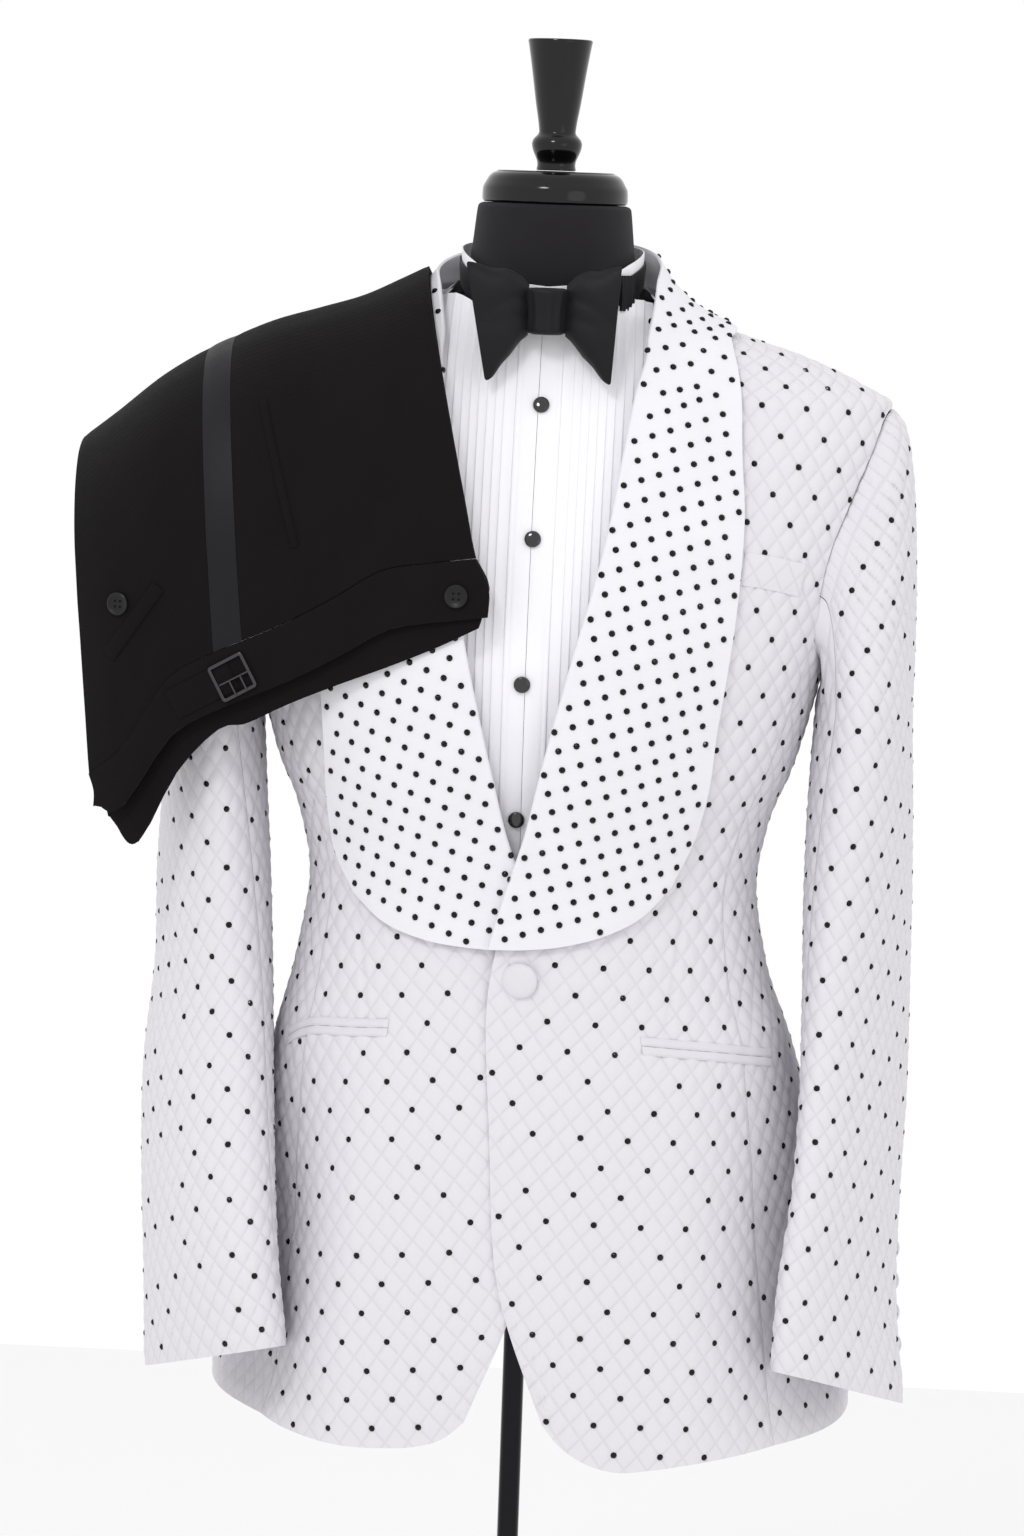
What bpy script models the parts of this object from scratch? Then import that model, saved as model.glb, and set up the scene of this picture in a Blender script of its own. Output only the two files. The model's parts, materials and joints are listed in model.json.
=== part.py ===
"""A man's shawl-lapel tuxedo shown on a limbless dress form. Metres, +Z up, front towards -Y.

The origin is the middle of the base's underside, on the pole. +X is the wearer's left.
Cloth is made from one body surface: a place on it is an angle round the body (0 at the
wearer's left side, -90 degrees at the centre front, 90 at the centre back) and a height,
and each layer lies at its own lift above that surface.
"""

import math

import bpy
import numpy as np
from mathutils import Vector
from mathutils.bvhtree import BVHTree

for old in list(bpy.data.objects):
    bpy.data.objects.remove(old, do_unlink=True)

MM = 0.001
LEFT, RIGHT = 1, -1  # the wearer's

# Driving dimensions
SEAM_GAP = 0.3 * MM
JACKET_WALL = 2.0 * MM
LAPEL_WALL = 1.5 * MM
SHIRT_WALL = 1.0 * MM
TROUSER_WALL = 1.4 * MM
NECK_TOP = 1.5235
FORM_BOTTOM = 0.850
POLE_RADIUS = 7.3 * MM
BASE_RADIUS = 0.170
BASE_SOCKET_TOP = 0.055
GIRTH_RADIUS = 0.2  # turns an angle round the body into a length of about the right size

# Inner face of the jacket, as level sections. The rows above 1.398 close in over the shoulders.
BODY = np.array([
    # height, half_width, front, back, roundness, shift
    (0.690, 0.2240, 0.150, 0.150, 2.30, 0.0105),
    (0.800, 0.2110, 0.143, 0.150, 2.30, 0.0085),
    (0.900, 0.1940, 0.135, 0.146, 2.30, 0.0065),
    (0.965, 0.1735, 0.128, 0.136, 2.30, 0.0055),
    (1.020, 0.1560, 0.122, 0.123, 2.25, 0.0025),
    (1.075, 0.1480, 0.118, 0.113, 2.20, 0.0015),
    (1.120, 0.1560, 0.121, 0.112, 2.20, 0.0005),
    (1.155, 0.1700, 0.126, 0.117, 2.20, 0.0),
    (1.222, 0.1880, 0.129, 0.125, 2.20, 0.0),
    (1.300, 0.2080, 0.116, 0.124, 2.20, 0.0),
    (1.350, 0.2190, 0.099, 0.115, 2.15, 0.0),
    (1.385, 0.2265, 0.084, 0.105, 2.05, 0.0),
    (1.398, 0.2265, 0.078, 0.100, 2.00, 0.0),
    (1.409, 0.2090, 0.073, 0.095, 2.00, 0.0),
    (1.424, 0.1760, 0.067, 0.087, 2.00, 0.0),
    (1.4345, 0.1440, 0.063, 0.081, 2.00, 0.0),
    (1.4445, 0.1120, 0.058, 0.075, 2.00, 0.0),
    (1.4600, 0.0780, 0.054, 0.066, 2.00, 0.0),
    (1.4780, 0.0630, 0.052, 0.058, 2.00, 0.0),
    (1.5050, 0.0575, 0.0525, 0.0555, 2.00, 0.0),
    (1.5300, 0.0555, 0.0540, 0.0540, 2.00, 0.0),
])

# How far the shirt hangs inside the jacket, at the sides and over the chest and back, in mm.
EASE = np.array([
    # height, side, face
    (0.690, 33.0, 20.0),
    (0.900, 28.0, 16.0),
    (1.000, 12.0, 10.0),
    (1.075, 5.0, 6.5),
    (1.222, 5.0, 7.0),
    (1.300, 2.0, 6.0),
    (1.385, 0.0, 4.6),
    (1.440, 0.0, 3.2),
    (1.475, 0.0, 0.6),
    (1.530, 0.0, 0.0),
])
SHOULDER_GAP = 3.3 * MM  # between the jacket and the shirt below it
FORM_GAP = 4.0 * MM  # between the shirt and the form


# ---------------------------------------------------------------- lines, surfaces and solids

def smooth(rows, at):
    """Monotone cubic through (x, y) rows, read at `at`."""
    xs, ys = np.array(rows, float).T
    at = np.clip(np.asarray(at, float), xs[0], xs[-1])
    step = np.diff(xs)
    slope = np.diff(ys) / step
    tangent = np.concatenate([slope[:1], np.zeros(len(ys) - 2), slope[-1:]])
    for i in range(1, len(ys) - 1):
        if slope[i - 1] * slope[i] > 0:
            w1 = 2 * step[i] + step[i - 1]
            w2 = step[i] + 2 * step[i - 1]
            tangent[i] = (w1 + w2) / (w1 / slope[i - 1] + w2 / slope[i])
    i = np.clip(np.searchsorted(xs, at) - 1, 0, len(step) - 1)
    t = (at - xs[i]) / step[i]
    return (
        ys[i] * (1 + 2 * t) * (1 - t) ** 2
        + step[i] * tangent[i] * t * (1 - t) ** 2
        + ys[i + 1] * t * t * (3 - 2 * t)
        + step[i] * tangent[i + 1] * t * t * (t - 1)
    )


def ease_in_out(t):
    t = np.clip(t, 0, 1)
    return t * t * (3 - 2 * t)


PROFILE = np.linspace(0.65, 1.53, 441)
ALONG = np.concatenate([[0], np.cumsum(np.hypot(np.diff(PROFILE), 0.7 * np.diff(
    smooth(BODY[:, (0, 1)], PROFILE))))])  # length up the body, counting the slope of the shoulders


def unrolled(points):
    """(angle, height) rows as lengths round and up the body."""
    points = np.asarray(points, float)
    return np.stack([GIRTH_RADIUS * points[..., 0], np.interp(points[..., 1], PROFILE, ALONG)], -1)


def rolled(lengths):
    return np.stack([lengths[..., 0] / GIRTH_RADIUS, np.interp(lengths[..., 1], ALONG, PROFILE)], -1)


def fractions(line):
    """Share of its length at which each point of a line on the body lies."""
    steps = np.linalg.norm(np.diff(unrolled(line), axis=0), axis=1)
    along = np.concatenate([[0], np.cumsum(steps)])
    return along / along[-1]


def through(points, stations):
    """A smooth line on the body through the points, read at shares of its length."""
    points = unrolled(points)
    ends = np.vstack([2 * points[0] - points[1], points, 2 * points[-1] - points[-2]])
    fine = []
    for a, b, c, d in zip(ends, ends[1:], ends[2:], ends[3:]):
        t = np.linspace(0, 1, 12, endpoint=False)[:, None]
        cubic = (2 * b + (c - a) * t + (2 * a - 5 * b + 4 * c - d) * t**2
                 + (3 * b - a - 3 * c + d) * t**3)
        fine.append(0.5 * cubic)
    fine = rolled(np.vstack([*fine, points[-1:]]))
    along = fractions(fine)
    return np.stack([np.interp(stations, along, axis) for axis in fine.T], -1)


def patch(bottom, top, left, right):
    """A Coons patch on the body: rows run from left to right, the first row is the bottom."""
    u = 0.5 * (fractions(bottom) + fractions(top))[None, :, None]
    v = 0.5 * (fractions(left) + fractions(right))[:, None, None]
    bottom, top, left, right = (unrolled(line) for line in (bottom, top, left, right))
    across = (1 - v) * bottom[None] + v * top[None]
    along = (1 - u) * left[:, None] + u * right[:, None]
    corners = ((1 - u) * (1 - v) * bottom[0] + u * (1 - v) * bottom[-1]
               + (1 - u) * v * top[0] + u * v * top[-1])
    return rolled(across + along - corners)


def on_body(angle, height):
    half, front, back, power, shift = (smooth(BODY[:, (0, k)], height) for k in range(1, 6))
    c, s = np.cos(angle), np.sin(angle)
    r = (np.abs(c) ** power + np.abs(s) ** power) ** (-1 / power)
    depth = np.where(s < 0, front, back)
    return np.stack([shift + half * r * c, depth * r * s, height + 0 * angle], -1)


def surface(angle, height, lift):
    """A point `lift` outside the body surface, measured along its normal."""
    angle, height, lift = np.broadcast_arrays(*(np.asarray(v, float) for v in (angle, height, lift)))
    turn, rise = 0.004, 0.6 * MM
    around = on_body(angle + turn, height) - on_body(angle - turn, height)
    up = on_body(angle, height + rise) - on_body(angle, height - rise)
    normal = np.cross(around, up)
    normal /= np.linalg.norm(normal, axis=-1, keepdims=True)
    return on_body(angle, height) + lift[..., None] * normal


def front(points, side=LEFT):
    """(x, height) rows on the front of the body turned into (angle, height) rows."""
    x, height = np.array(points, float).T
    half, power, shift = (smooth(BODY[:, (0, k)], height) for k in (1, 4, 5))
    c = np.clip((x - shift) / half, -1, 1)
    s = -((1 - np.abs(c) ** power) ** (1 / power))
    angle = np.arctan2(s, c)
    return np.stack([angle + (2 * math.pi if side == RIGHT else 0), height], -1)


def around(rows, side=LEFT):
    """(degrees, height) rows for the wearer's left, turned into radians and put on either side."""
    rows = np.array(rows, float)
    angle = np.radians(rows[:, 0])
    return np.stack([angle if side == LEFT else math.pi - angle, rows[:, 1]], -1)


def normals(grid, ring=False):
    """Unit normals of a grid of points, rows by columns."""
    if ring:
        wide = np.concatenate([grid[:, -1:], grid, grid[:, :1]], axis=1)
        across = wide[:, 2:] - wide[:, :-2]
    else:
        across = np.gradient(grid, axis=1)
    normal = np.cross(across, np.gradient(grid, axis=0))
    return normal / np.linalg.norm(normal, axis=-1, keepdims=True)


def inset(grid, bottom=0.0, top=0.0, left=0.0, right=0.0):
    """Draws the edges of a grid in by the given distances."""
    grid = grid.copy()
    for share, edge, inner in ((bottom, 0, 1), (top, -1, -2)):
        step = grid[inner] - grid[edge]
        grid[edge] += share * step / np.linalg.norm(step, axis=-1, keepdims=True)
    for share, edge, inner in ((left, 0, 1), (right, -1, -2)):
        step = grid[:, inner] - grid[:, edge]
        grid[:, edge] += share * step / np.linalg.norm(step, axis=-1, keepdims=True)
    return grid


def finish(name, colour, roughness, metallic=0.0):
    """A Principled material, with an sRGB hex colour."""
    made = bpy.data.materials.new(name)
    made.use_nodes = True
    shader = made.node_tree.nodes["Principled BSDF"]
    parts = [int(colour[i:i + 2], 16) / 255 for i in (0, 2, 4)]
    linear = [c / 12.92 if c <= 0.04045 else ((c + 0.055) / 1.055) ** 2.4 for c in parts]
    shader.inputs["Base Color"].default_value = (*linear, 1)
    shader.inputs["Roughness"].default_value = roughness
    shader.inputs["Metallic"].default_value = metallic
    return made


def solid(name, points, faces, material):
    """One closed object. Faces that all point inwards are turned round."""
    points = np.asarray(points, float)
    volume = 0.0
    for face in faces:
        a = points[face[0]]
        for b, c in zip(face[1:], face[2:]):
            volume += np.dot(a, np.cross(points[b], points[c]))
    if volume < 0:
        faces = [[face[0], *face[:0:-1]] for face in faces]
    faces = [[face[0], b, c] for face in faces for b, c in zip(face[1:], face[2:])]
    mesh = bpy.data.meshes.new(name)
    mesh.from_pydata(points.tolist(), [], [list(map(int, face)) for face in faces])
    mesh.materials.append(material)
    mesh.validate()
    mesh.shade_smooth()
    mesh.set_sharp_from_angle(angle=math.radians(40))
    made = bpy.data.objects.new(name, mesh)
    bpy.context.scene.collection.objects.link(made)
    return made


def wall(name, outside, inside, material, ring=False):
    """A cloth wall between two grids of points. A ring's columns close on themselves."""
    rows, columns = outside.shape[:2]
    index = np.arange(rows * columns).reshape(rows, columns)
    if ring:
        index = np.concatenate([index, index[:, :1]], axis=1)
    far = index + rows * columns
    faces = []
    for sheet, turned in ((index, False), (far, True)):
        quads = np.stack([sheet[:-1, :-1], sheet[:-1, 1:], sheet[1:, 1:], sheet[1:, :-1]], -1)
        quads = quads.reshape(-1, 4)
        faces += [list(q[[0, 3, 2, 1]] if turned else q) for q in quads]
    rims = [(index[0], far[0], True), (index[-1], far[-1], False)]
    if not ring:
        rims += [(index[:, 0], far[:, 0], False), (index[:, -1], far[:, -1], True)]
    for near, away, turned in rims:
        for a, b, c, d in zip(near, near[1:], away[1:], away):
            faces.append([d, c, b, a] if turned else [a, b, c, d])
    points = np.concatenate([outside.reshape(-1, 3), inside.reshape(-1, 3)])
    return solid(name, points, faces, material)


def closed_rings(name, rings, material):
    """A solid through rings of points, with a fan at each end."""
    rings = np.asarray(rings, float)
    rows, columns = rings.shape[:2]
    index = np.arange(rows * columns).reshape(rows, columns)
    index = np.concatenate([index, index[:, :1]], axis=1)
    faces = np.stack([index[:-1, :-1], index[:-1, 1:], index[1:, 1:], index[1:, :-1]], -1)
    faces = [list(f) for f in faces.reshape(-1, 4)]
    low, high = rows * columns, rows * columns + 1
    faces += [[low, b, a] for a, b in zip(index[0], index[0][1:])]
    faces += [[high, a, b] for a, b in zip(index[-1], index[-1][1:])]
    points = np.concatenate([rings.reshape(-1, 3), [rings[0].mean(axis=0), rings[-1].mean(axis=0)]])
    return solid(name, points, faces, material)


def turned(name, profile, sides, material):
    """A solid turned about its own Z axis from (radius, height) rows."""
    angle = np.arange(sides) * 2 * math.pi / sides
    circle = np.stack([np.cos(angle), np.sin(angle), 0 * angle], -1)
    rings = [radius * circle + (0, 0, height) for radius, height in profile]
    return closed_rings(name, rings, material)


def seat(made, place, normal):
    """Puts a turned piece at a place, with its own Z along the normal."""
    made.location = Vector(place)
    made.rotation_mode = "QUATERNION"
    made.rotation_quaternion = Vector(normal).to_track_quat("Z", "Y")
    return made


def resting_tree(names):
    """What a laid piece rests on: the faces of some pieces already made."""
    points, faces = [], []
    for name in names:
        mesh = bpy.data.objects[name].data
        start = len(points)
        points += [v.co.copy() for v in mesh.vertices]
        faces += [[start + i for i in face.vertices] for face in mesh.polygons]
    return BVHTree.FromPolygons(points, faces)


def laid_on(tree, points, inward, gap):
    """Points moved along their inward directions onto the faces, and the way out from each."""
    placed, out = [], []
    for point, direction in zip(points.reshape(-1, 3), inward.reshape(-1, 3)):
        start, direction = Vector(point), Vector(direction).normalized()
        hit, normal, _, _ = tree.ray_cast(start - 0.06 * direction, direction)
        if hit is None:  # over a seam
            near, normal, _, _ = tree.find_nearest(start)
            hit = start + direction * (near - start).dot(direction)
        if normal.dot(direction) > 0:
            normal = -normal
        placed.append(np.array(hit + gap * normal))
        out.append(np.array(normal))
    return np.array(placed).reshape(points.shape), np.array(out).reshape(points.shape)


def laid_strip(name, tree, points, inward, thickness, material, gap=SEAM_GAP):
    """A flat piece of cloth lying on others, from a grid of points near them."""
    under, out = laid_on(tree, points, inward, gap)
    return wall(name, under + thickness * out, under, material)


def laid_button(name, tree, point, inward, profile, sides, material, gap=SEAM_GAP):
    """A turned piece seated flat on the face below a point."""
    start, direction = Vector(point), Vector(inward).normalized()
    hit, out, _, _ = tree.ray_cast(start - 0.06 * direction, direction)
    if out.dot(direction) > 0:
        out = -out
    return seat(turned(name, profile, sides, material), hit + gap * out, out)


# ---------------------------------------------------------------- materials

JERSEY = finish("black_jersey", "242228", 0.9)
LACQUER = finish("black_lacquer", "0b0b0e", 0.12)
CHROME = finish("black_chrome", "3a3a3e", 0.2, 1.0)
IRON = finish("painted_iron", "17171a", 0.45)
POPLIN = finish("white_poplin", "f2f1f3", 0.8)
SATIN = finish("black_satin", "24222a", 0.4)
QUILT = finish("ivory_quilting", "efefee", 0.85)
LAPEL_CLOTH = finish("ivory_barathea", "f3f3f4", 0.75)
ONYX = finish("black_onyx", "08080a", 0.1)
WOOL = finish("black_wool", "1f1b1c", 0.85)
HORN = finish("black_horn", "0d0c0d", 0.25)
STEEL = finish("gunmetal", "55565a", 0.3, 1.0)


# ---------------------------------------------------------------- dress form and stand

def shirt_lift(angle, height):
    """Lift of the shirt's outer face below the jacket."""
    over = np.sin(angle) ** 2
    side, face = smooth(EASE[:, (0, 1)], height), smooth(EASE[:, (0, 2)], height)
    return -SHOULDER_GAP - ((1 - over) * side + over * face) * MM


FORM_SHOULDER = [  # height, more room in mm over the shoulders
    (1.300, 0.0), (1.370, 5.6), (1.412, 5.6), (1.450, 0.0),
]


def form_lift(angle, height):
    """Lift of the dress form's surface below the shirt, with more room where cloth hangs."""
    under = shirt_lift(angle, height)
    over = smooth(FORM_SHOULDER, height) * MM
    return 1.5 * (under + SHOULDER_GAP) - SHOULDER_GAP - SHIRT_WALL - FORM_GAP - over


FORM_COLUMNS = 24
FORM_ENDS = [  # the underside is rounded
    # height, share of the full width
    (FORM_BOTTOM, 0.88),
    (FORM_BOTTOM + 0.008, 0.97),
    (FORM_BOTTOM + 0.022, 1.0),
]
FORM_HEIGHTS = (0.940, 1.020, 1.080, 1.150, 1.230, 1.300, 1.345, 1.372, 1.392, 1.404, 1.416, 1.428,
                1.441)
FORM_NECK = [
    # height, half width, half depth
    (1.4560, 0.0610, 0.0530),
    (1.4640, 0.0575, 0.0530),
    (1.4960, 0.0535, 0.0525),
    (NECK_TOP - 0.0015, 0.0500, 0.0490),
    (NECK_TOP, 0.0470, 0.0460),
]


def form_ring(height):
    even = np.arange(FORM_COLUMNS) * 2 * math.pi / FORM_COLUMNS
    angle = even - 0.25 * np.sin(2 * even)  # closer together over the shoulders
    return surface(angle, np.full(FORM_COLUMNS, height), form_lift(angle, height))


def dress_form():
    rings = []
    for height, share in FORM_ENDS:
        ring = form_ring(height) * (share, share, 1)
        ring[:, 2] = height
        rings.append(ring)
    rings += [form_ring(height) for height in FORM_HEIGHTS]
    angle = np.arctan2(rings[-1][:, 1], rings[-1][:, 0])
    for height, half, deep in FORM_NECK:
        rings.append(np.stack([half * np.cos(angle), deep * np.sin(angle), height + 0 * angle], -1))
    closed_rings("form_torso", rings, JERSEY)
    cap = [  # radius, height above the neck
        (0.0400, 0.0003), (0.0475, 0.0012), (0.0482, 0.0050), (0.0478, 0.0100), (0.0440, 0.0175),
        (0.0385, 0.0208), (0.0380, 0.0215),
    ]
    turned("form_neck_cap", [(r, NECK_TOP + h) for r, h in cap], 16, LACQUER)
    finial = [
        (0.0130, 0.0218), (0.0125, 0.0250), (0.0150, 0.0330), (0.0166, 0.0385), (0.0158, 0.0420),
        (0.0128, 0.0450), (0.0122, 0.0480), (0.0150, 0.0660), (0.0212, 0.1060), (0.0206, 0.1075),
    ]
    turned("form_finial", [(r, NECK_TOP + h) for r, h in finial], 14, LACQUER)
    pole = [(POLE_RADIUS, BASE_SOCKET_TOP + SEAM_GAP), (POLE_RADIUS, FORM_BOTTOM - SEAM_GAP)]
    turned("form_pole", pole, 20, CHROME)
    base = [
        (BASE_RADIUS, 0.0), (BASE_RADIUS, 0.008), (BASE_RADIUS - 0.005, 0.012), (0.060, 0.018),
        (0.020, 0.024), (0.016, BASE_SOCKET_TOP),
    ]
    turned("form_base", base, 24, IRON)


# ---------------------------------------------------------------- shirt

# The armhole of the jacket, in three stretches: down the front, under the arm, up the back.
TIP = (2, 1.3985)
FRONT_SEAM = (-24, 1.246)
BACK_SEAM = (25, 1.243)
ARM_FRONT = [TIP, (-9, 1.3945), (-15, 1.385), (-19.5, 1.362), (-23, 1.340), (-27, 1.312), (-28, 1.290),
             (-26.5, 1.266), FRONT_SEAM]
ARM_UNDER = [FRONT_SEAM, (-18, 1.236), (-8, 1.226), (1, 1.2225), (10, 1.225), (19, 1.234), BACK_SEAM]
ARM_BACK = [BACK_SEAM, (30, 1.262), (32, 1.285), (31, 1.310), (28, 1.340), (23, 1.366), (16, 1.387),
            (9, 1.396), TIP]
ARM_STATIONS = np.linspace(0, 1, 9) ** 1.2  # closer together towards the shoulder


def armhole(side):
    """The three stretches of the armhole as (angle, height) lines."""
    return [
        through(around(ARM_FRONT, side), ARM_STATIONS),
        through(around(ARM_UNDER, side), np.linspace(0, 1, 6)),
        through(around(ARM_BACK, side), 1 - ARM_STATIONS[::-1]),
    ]


SHIRT_HEM = 0.800
SHIRT_SIDE = 4  # degrees
SHIRT_RISE = [(SHIRT_SIDE, SHIRT_HEM), (SHIRT_SIDE, 1.00), (SHIRT_SIDE, 1.12), (SHIRT_SIDE, 1.215)]
SHIRT_ARM = [(SHIRT_SIDE, 1.215), (-14, 1.245), (-22, 1.290), (-18, 1.345), (-8, 1.380), (2, 1.3900)]
SHIRT_ARM_BACK = [(SHIRT_SIDE, 1.215), (20, 1.245), (27, 1.290), (22, 1.345), (10, 1.382), (2, 1.3900)]
SHIRT_NECK_BACK = [(90, 1.4690), (55, 1.4700), (25, 1.4715), (2, 1.4720)]
SIDE_STATIONS = (0, 0.30, 0.52, 0.66, 0.80, 1)
ARMHOLE_STATIONS = (0.22, 0.42, 0.58, 0.72, 0.83, 0.92, 1)

PLACKET_HALF = 15 * MM
PLACKET_X = -3 * MM
TUCK_PITCH = 5.6 * MM
TUCKS = 11  # on each side of the placket
TUCK_RISE = 0.8 * MM
BIB_HALF = PLACKET_HALF + 2.5 * MM + TUCKS * TUCK_PITCH
BIB_TOP = [  # neck edge of the tucked front: distance from the placket's middle, height
    (0.000, 1.4400), (0.030, 1.4415), (0.050, 1.4440), (0.060, 1.4470), (0.070, 1.4490), (0.082, 1.4480),
]
BIB_HEIGHTS = (0, 0.31, 0.49, 0.645, 0.766, 0.86, 0.937, 1)


def shirt_grid(grid, name, **edges):
    angle, height = grid[..., 0], grid[..., 1]
    lift = shirt_lift(angle, height)
    wall(name, inset(surface(angle, height, lift), **edges),
         inset(surface(angle, height, lift - SHIRT_WALL), **edges), POPLIN)


def shirt_outer_line(side, arm):
    """The side seam, then the armhole, from hem to shoulder."""
    seam = through(around(SHIRT_RISE, side), SIDE_STATIONS)
    return np.vstack([seam, through(around(arm, side), ARMHOLE_STATIONS)])


def shirt_front(side):
    """The plain part beside the tucks."""
    word = "left" if side == LEFT else "right"
    outer = shirt_outer_line(side, SHIRT_ARM)
    edge_x = PLACKET_X + side * (BIB_HALF + 0.6 * MM)
    rise = front([(edge_x, h) for h in (SHIRT_HEM, 0.90, 1.00, 1.10, 1.20, 1.30, 1.36, 1.41, 1.435)], side)
    rise = np.vstack([rise, around([(2, 1.4560)], side)])
    inner = through(rise, fractions(outer))
    count = np.linspace(0, 1, 8)
    hem = through(np.vstack([inner[:1], around([(-30, SHIRT_HEM), (SHIRT_SIDE, SHIRT_HEM)], side)]), count)
    seam = through(np.vstack([inner[-1:], around([(2, 1.4300), (2, 1.3900)], side)]), count)
    shirt_grid(patch(hem, seam, inner, outer), f"shirt_front_{word}",
               left=SEAM_GAP / 2, right=SEAM_GAP / 2, top=SEAM_GAP / 2)


def shirt_bib(side):
    """Half of the tucked front, with its half of the placket. Each tuck is a fold laid outwards."""
    word = "left" if side == LEFT else "right"
    steps, rise = [SEAM_GAP / 2, PLACKET_HALF, PLACKET_HALF + 0.3 * MM], [1.2 * MM, 1.2 * MM, 0.0]
    for tuck in range(TUCKS):
        start = PLACKET_HALF + 2.5 * MM + tuck * TUCK_PITCH
        steps += [start + 0.86 * TUCK_PITCH, start + 0.94 * TUCK_PITCH]
        rise += [TUCK_RISE, 0.0]
    steps, rise = np.array(steps), np.array(rise)
    share = np.array(BIB_HEIGHTS)[:, None]
    height = SHIRT_HEM + share * (smooth(BIB_TOP, steps) - SHIRT_HEM)[None, :]
    x = PLACKET_X + side * steps[None, :] + 0 * height
    place = front(np.stack([x, height], -1).reshape(-1, 2), side).reshape(*x.shape, 2)
    angle, height = place[..., 0], place[..., 1]
    lift = shirt_lift(angle, height)
    wall(f"shirt_bib_{word}", surface(angle, height, lift + rise), surface(angle, height, lift - SHIRT_WALL),
         POPLIN)


def shirt_back():
    halves = [shirt_outer_line(side, SHIRT_ARM_BACK) for side in (RIGHT, LEFT)]
    seams = [through(around([(2, 1.3900), (2, 1.4300), (2, 1.4720)], side), np.linspace(0, 1, 7))
             for side in (RIGHT, LEFT)]
    neck = np.vstack([around(SHIRT_NECK_BACK, RIGHT)[::-1], around(SHIRT_NECK_BACK)[1:]])
    across = through(neck, np.linspace(0, 1, 7))
    top = np.vstack([seams[0], across[1:-1], seams[1][::-1]])
    hem_angle = np.linspace(halves[0][0, 0], halves[1][0, 0], len(top))
    hem = np.stack([hem_angle, np.full(len(top), SHIRT_HEM)], -1)
    shirt_grid(patch(hem, top, halves[0], halves[1]), "shirt_back",
               left=SEAM_GAP / 2, right=SEAM_GAP / 2, top=SEAM_GAP / 2)


COLLAR_HALF = np.array((0.0602, 0.0588))  # half width, half depth
COLLAR_WALL = 1.1 * MM
COLLAR = [
    # degrees, bottom, top
    (-90, 1.4425, 1.4705),
    (-60, 1.4475, 1.4740),
    (-30, 1.4640, 1.4860),
    (0, 1.4765, 1.4935),
    (45, 1.4750, 1.4975),
    (90, 1.4740, 1.5000),
]


def neck_ring(half, rows, low, high, levels):
    """A ring about the neck, between two heights that change on the way round."""
    columns = 28
    angle = (np.arange(columns) + 0.5) * 2 * math.pi / columns - math.pi
    fold = np.degrees(np.where(np.abs(angle) > math.pi / 2, np.sign(angle) * math.pi - angle, angle))
    bottom = smooth([(row[0], row[low]) for row in rows], fold)
    top = smooth([(row[0], row[high]) for row in rows], fold)
    share = np.linspace(0, 1, levels)[:, None]
    height = bottom + share * (top - bottom)
    flare = 1 + 0.02 * (share - 0.5)
    return np.stack([half[0] * flare * np.cos(angle), half[1] * flare * np.sin(angle), height], -1)


def shirt_collar():
    inside = neck_ring(COLLAR_HALF - COLLAR_WALL, COLLAR, 1, 2, 2)
    outside = neck_ring(COLLAR_HALF, COLLAR, 1, 2, 2)
    wall("shirt_collar", outside, inside, POPLIN, ring=True)


STUD_HEIGHTS = (1.397, 1.312, 1.217, 1.127)
STUD_X = (-0.001, -0.002, -0.005, -0.006)


def shirt_studs():
    tree = resting_tree(("shirt_bib_left", "shirt_bib_right"))
    profile = [(0.0050, 0.0), (0.0054, 0.0016), (0.0044, 0.0023)]
    for number, (x, height) in enumerate(zip(STUD_X, STUD_HEIGHTS), 1):
        angle, level = front([(x, height)])[0]
        outer, inner = (surface(angle, level, lift) for lift in (0.01, 0.0))
        laid_button(f"shirt_stud_{number}", tree, inner, inner - outer, profile, 12, ONYX)


def shirt():
    for side in (LEFT, RIGHT):
        shirt_front(side)
        shirt_bib(side)
    shirt_back()
    shirt_collar()
    shirt_studs()


# ---------------------------------------------------------------- bow tie

BAND_WALL = 1.0 * MM
BAND = [
    # degrees, bottom, top
    (-90, 1.4470, 1.4640),
    (-60, 1.4500, 1.4680),
    (-30, 1.4610, 1.4790),
    (0, 1.4700, 1.4870),
    (45, 1.4740, 1.4900),
    (90, 1.4750, 1.4910),
]
KNOT_PLACE = np.array((0.0005, -0.0723, 1.4550))
WING = [
    # out, height, half_height, half_depth
    (0.0143, 1.4555, 0.0130, 0.0060),
    (0.0190, 1.4560, 0.0180, 0.0090),
    (0.0250, 1.4540, 0.0250, 0.0110),
    (0.0320, 1.4510, 0.0310, 0.0105),
    (0.0390, 1.4485, 0.0360, 0.0080),
    (0.0440, 1.4475, 0.0380, 0.0050),
    (0.0455, 1.4475, 0.0370, 0.0025),
]
WING_LEAN = {LEFT: 0.06, RIGHT: 0.19}  # how far a wing's outer edge leans out per height


def tie_wing(side):
    word = "left" if side == LEFT else "right"
    angle = np.arange(15) * 2 * math.pi / 15
    rings = []
    for number, (out, height, half_height, half_depth) in enumerate(WING):
        fold = 1 + 0.22 * np.cos(3 * angle) * (1 - number / (len(WING) - 1))
        y = KNOT_PLACE[1] + 0.004 - 0.002 * number + half_depth * fold * np.cos(angle)
        z = height + half_height * np.sin(angle)
        lean = WING_LEAN[side] * (z - height) * ease_in_out(number / 5)
        rings.append(np.stack([KNOT_PLACE[0] + side * (out + lean), y, z], -1))
    closed_rings(f"tie_wing_{word}", rings, SATIN)


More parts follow.
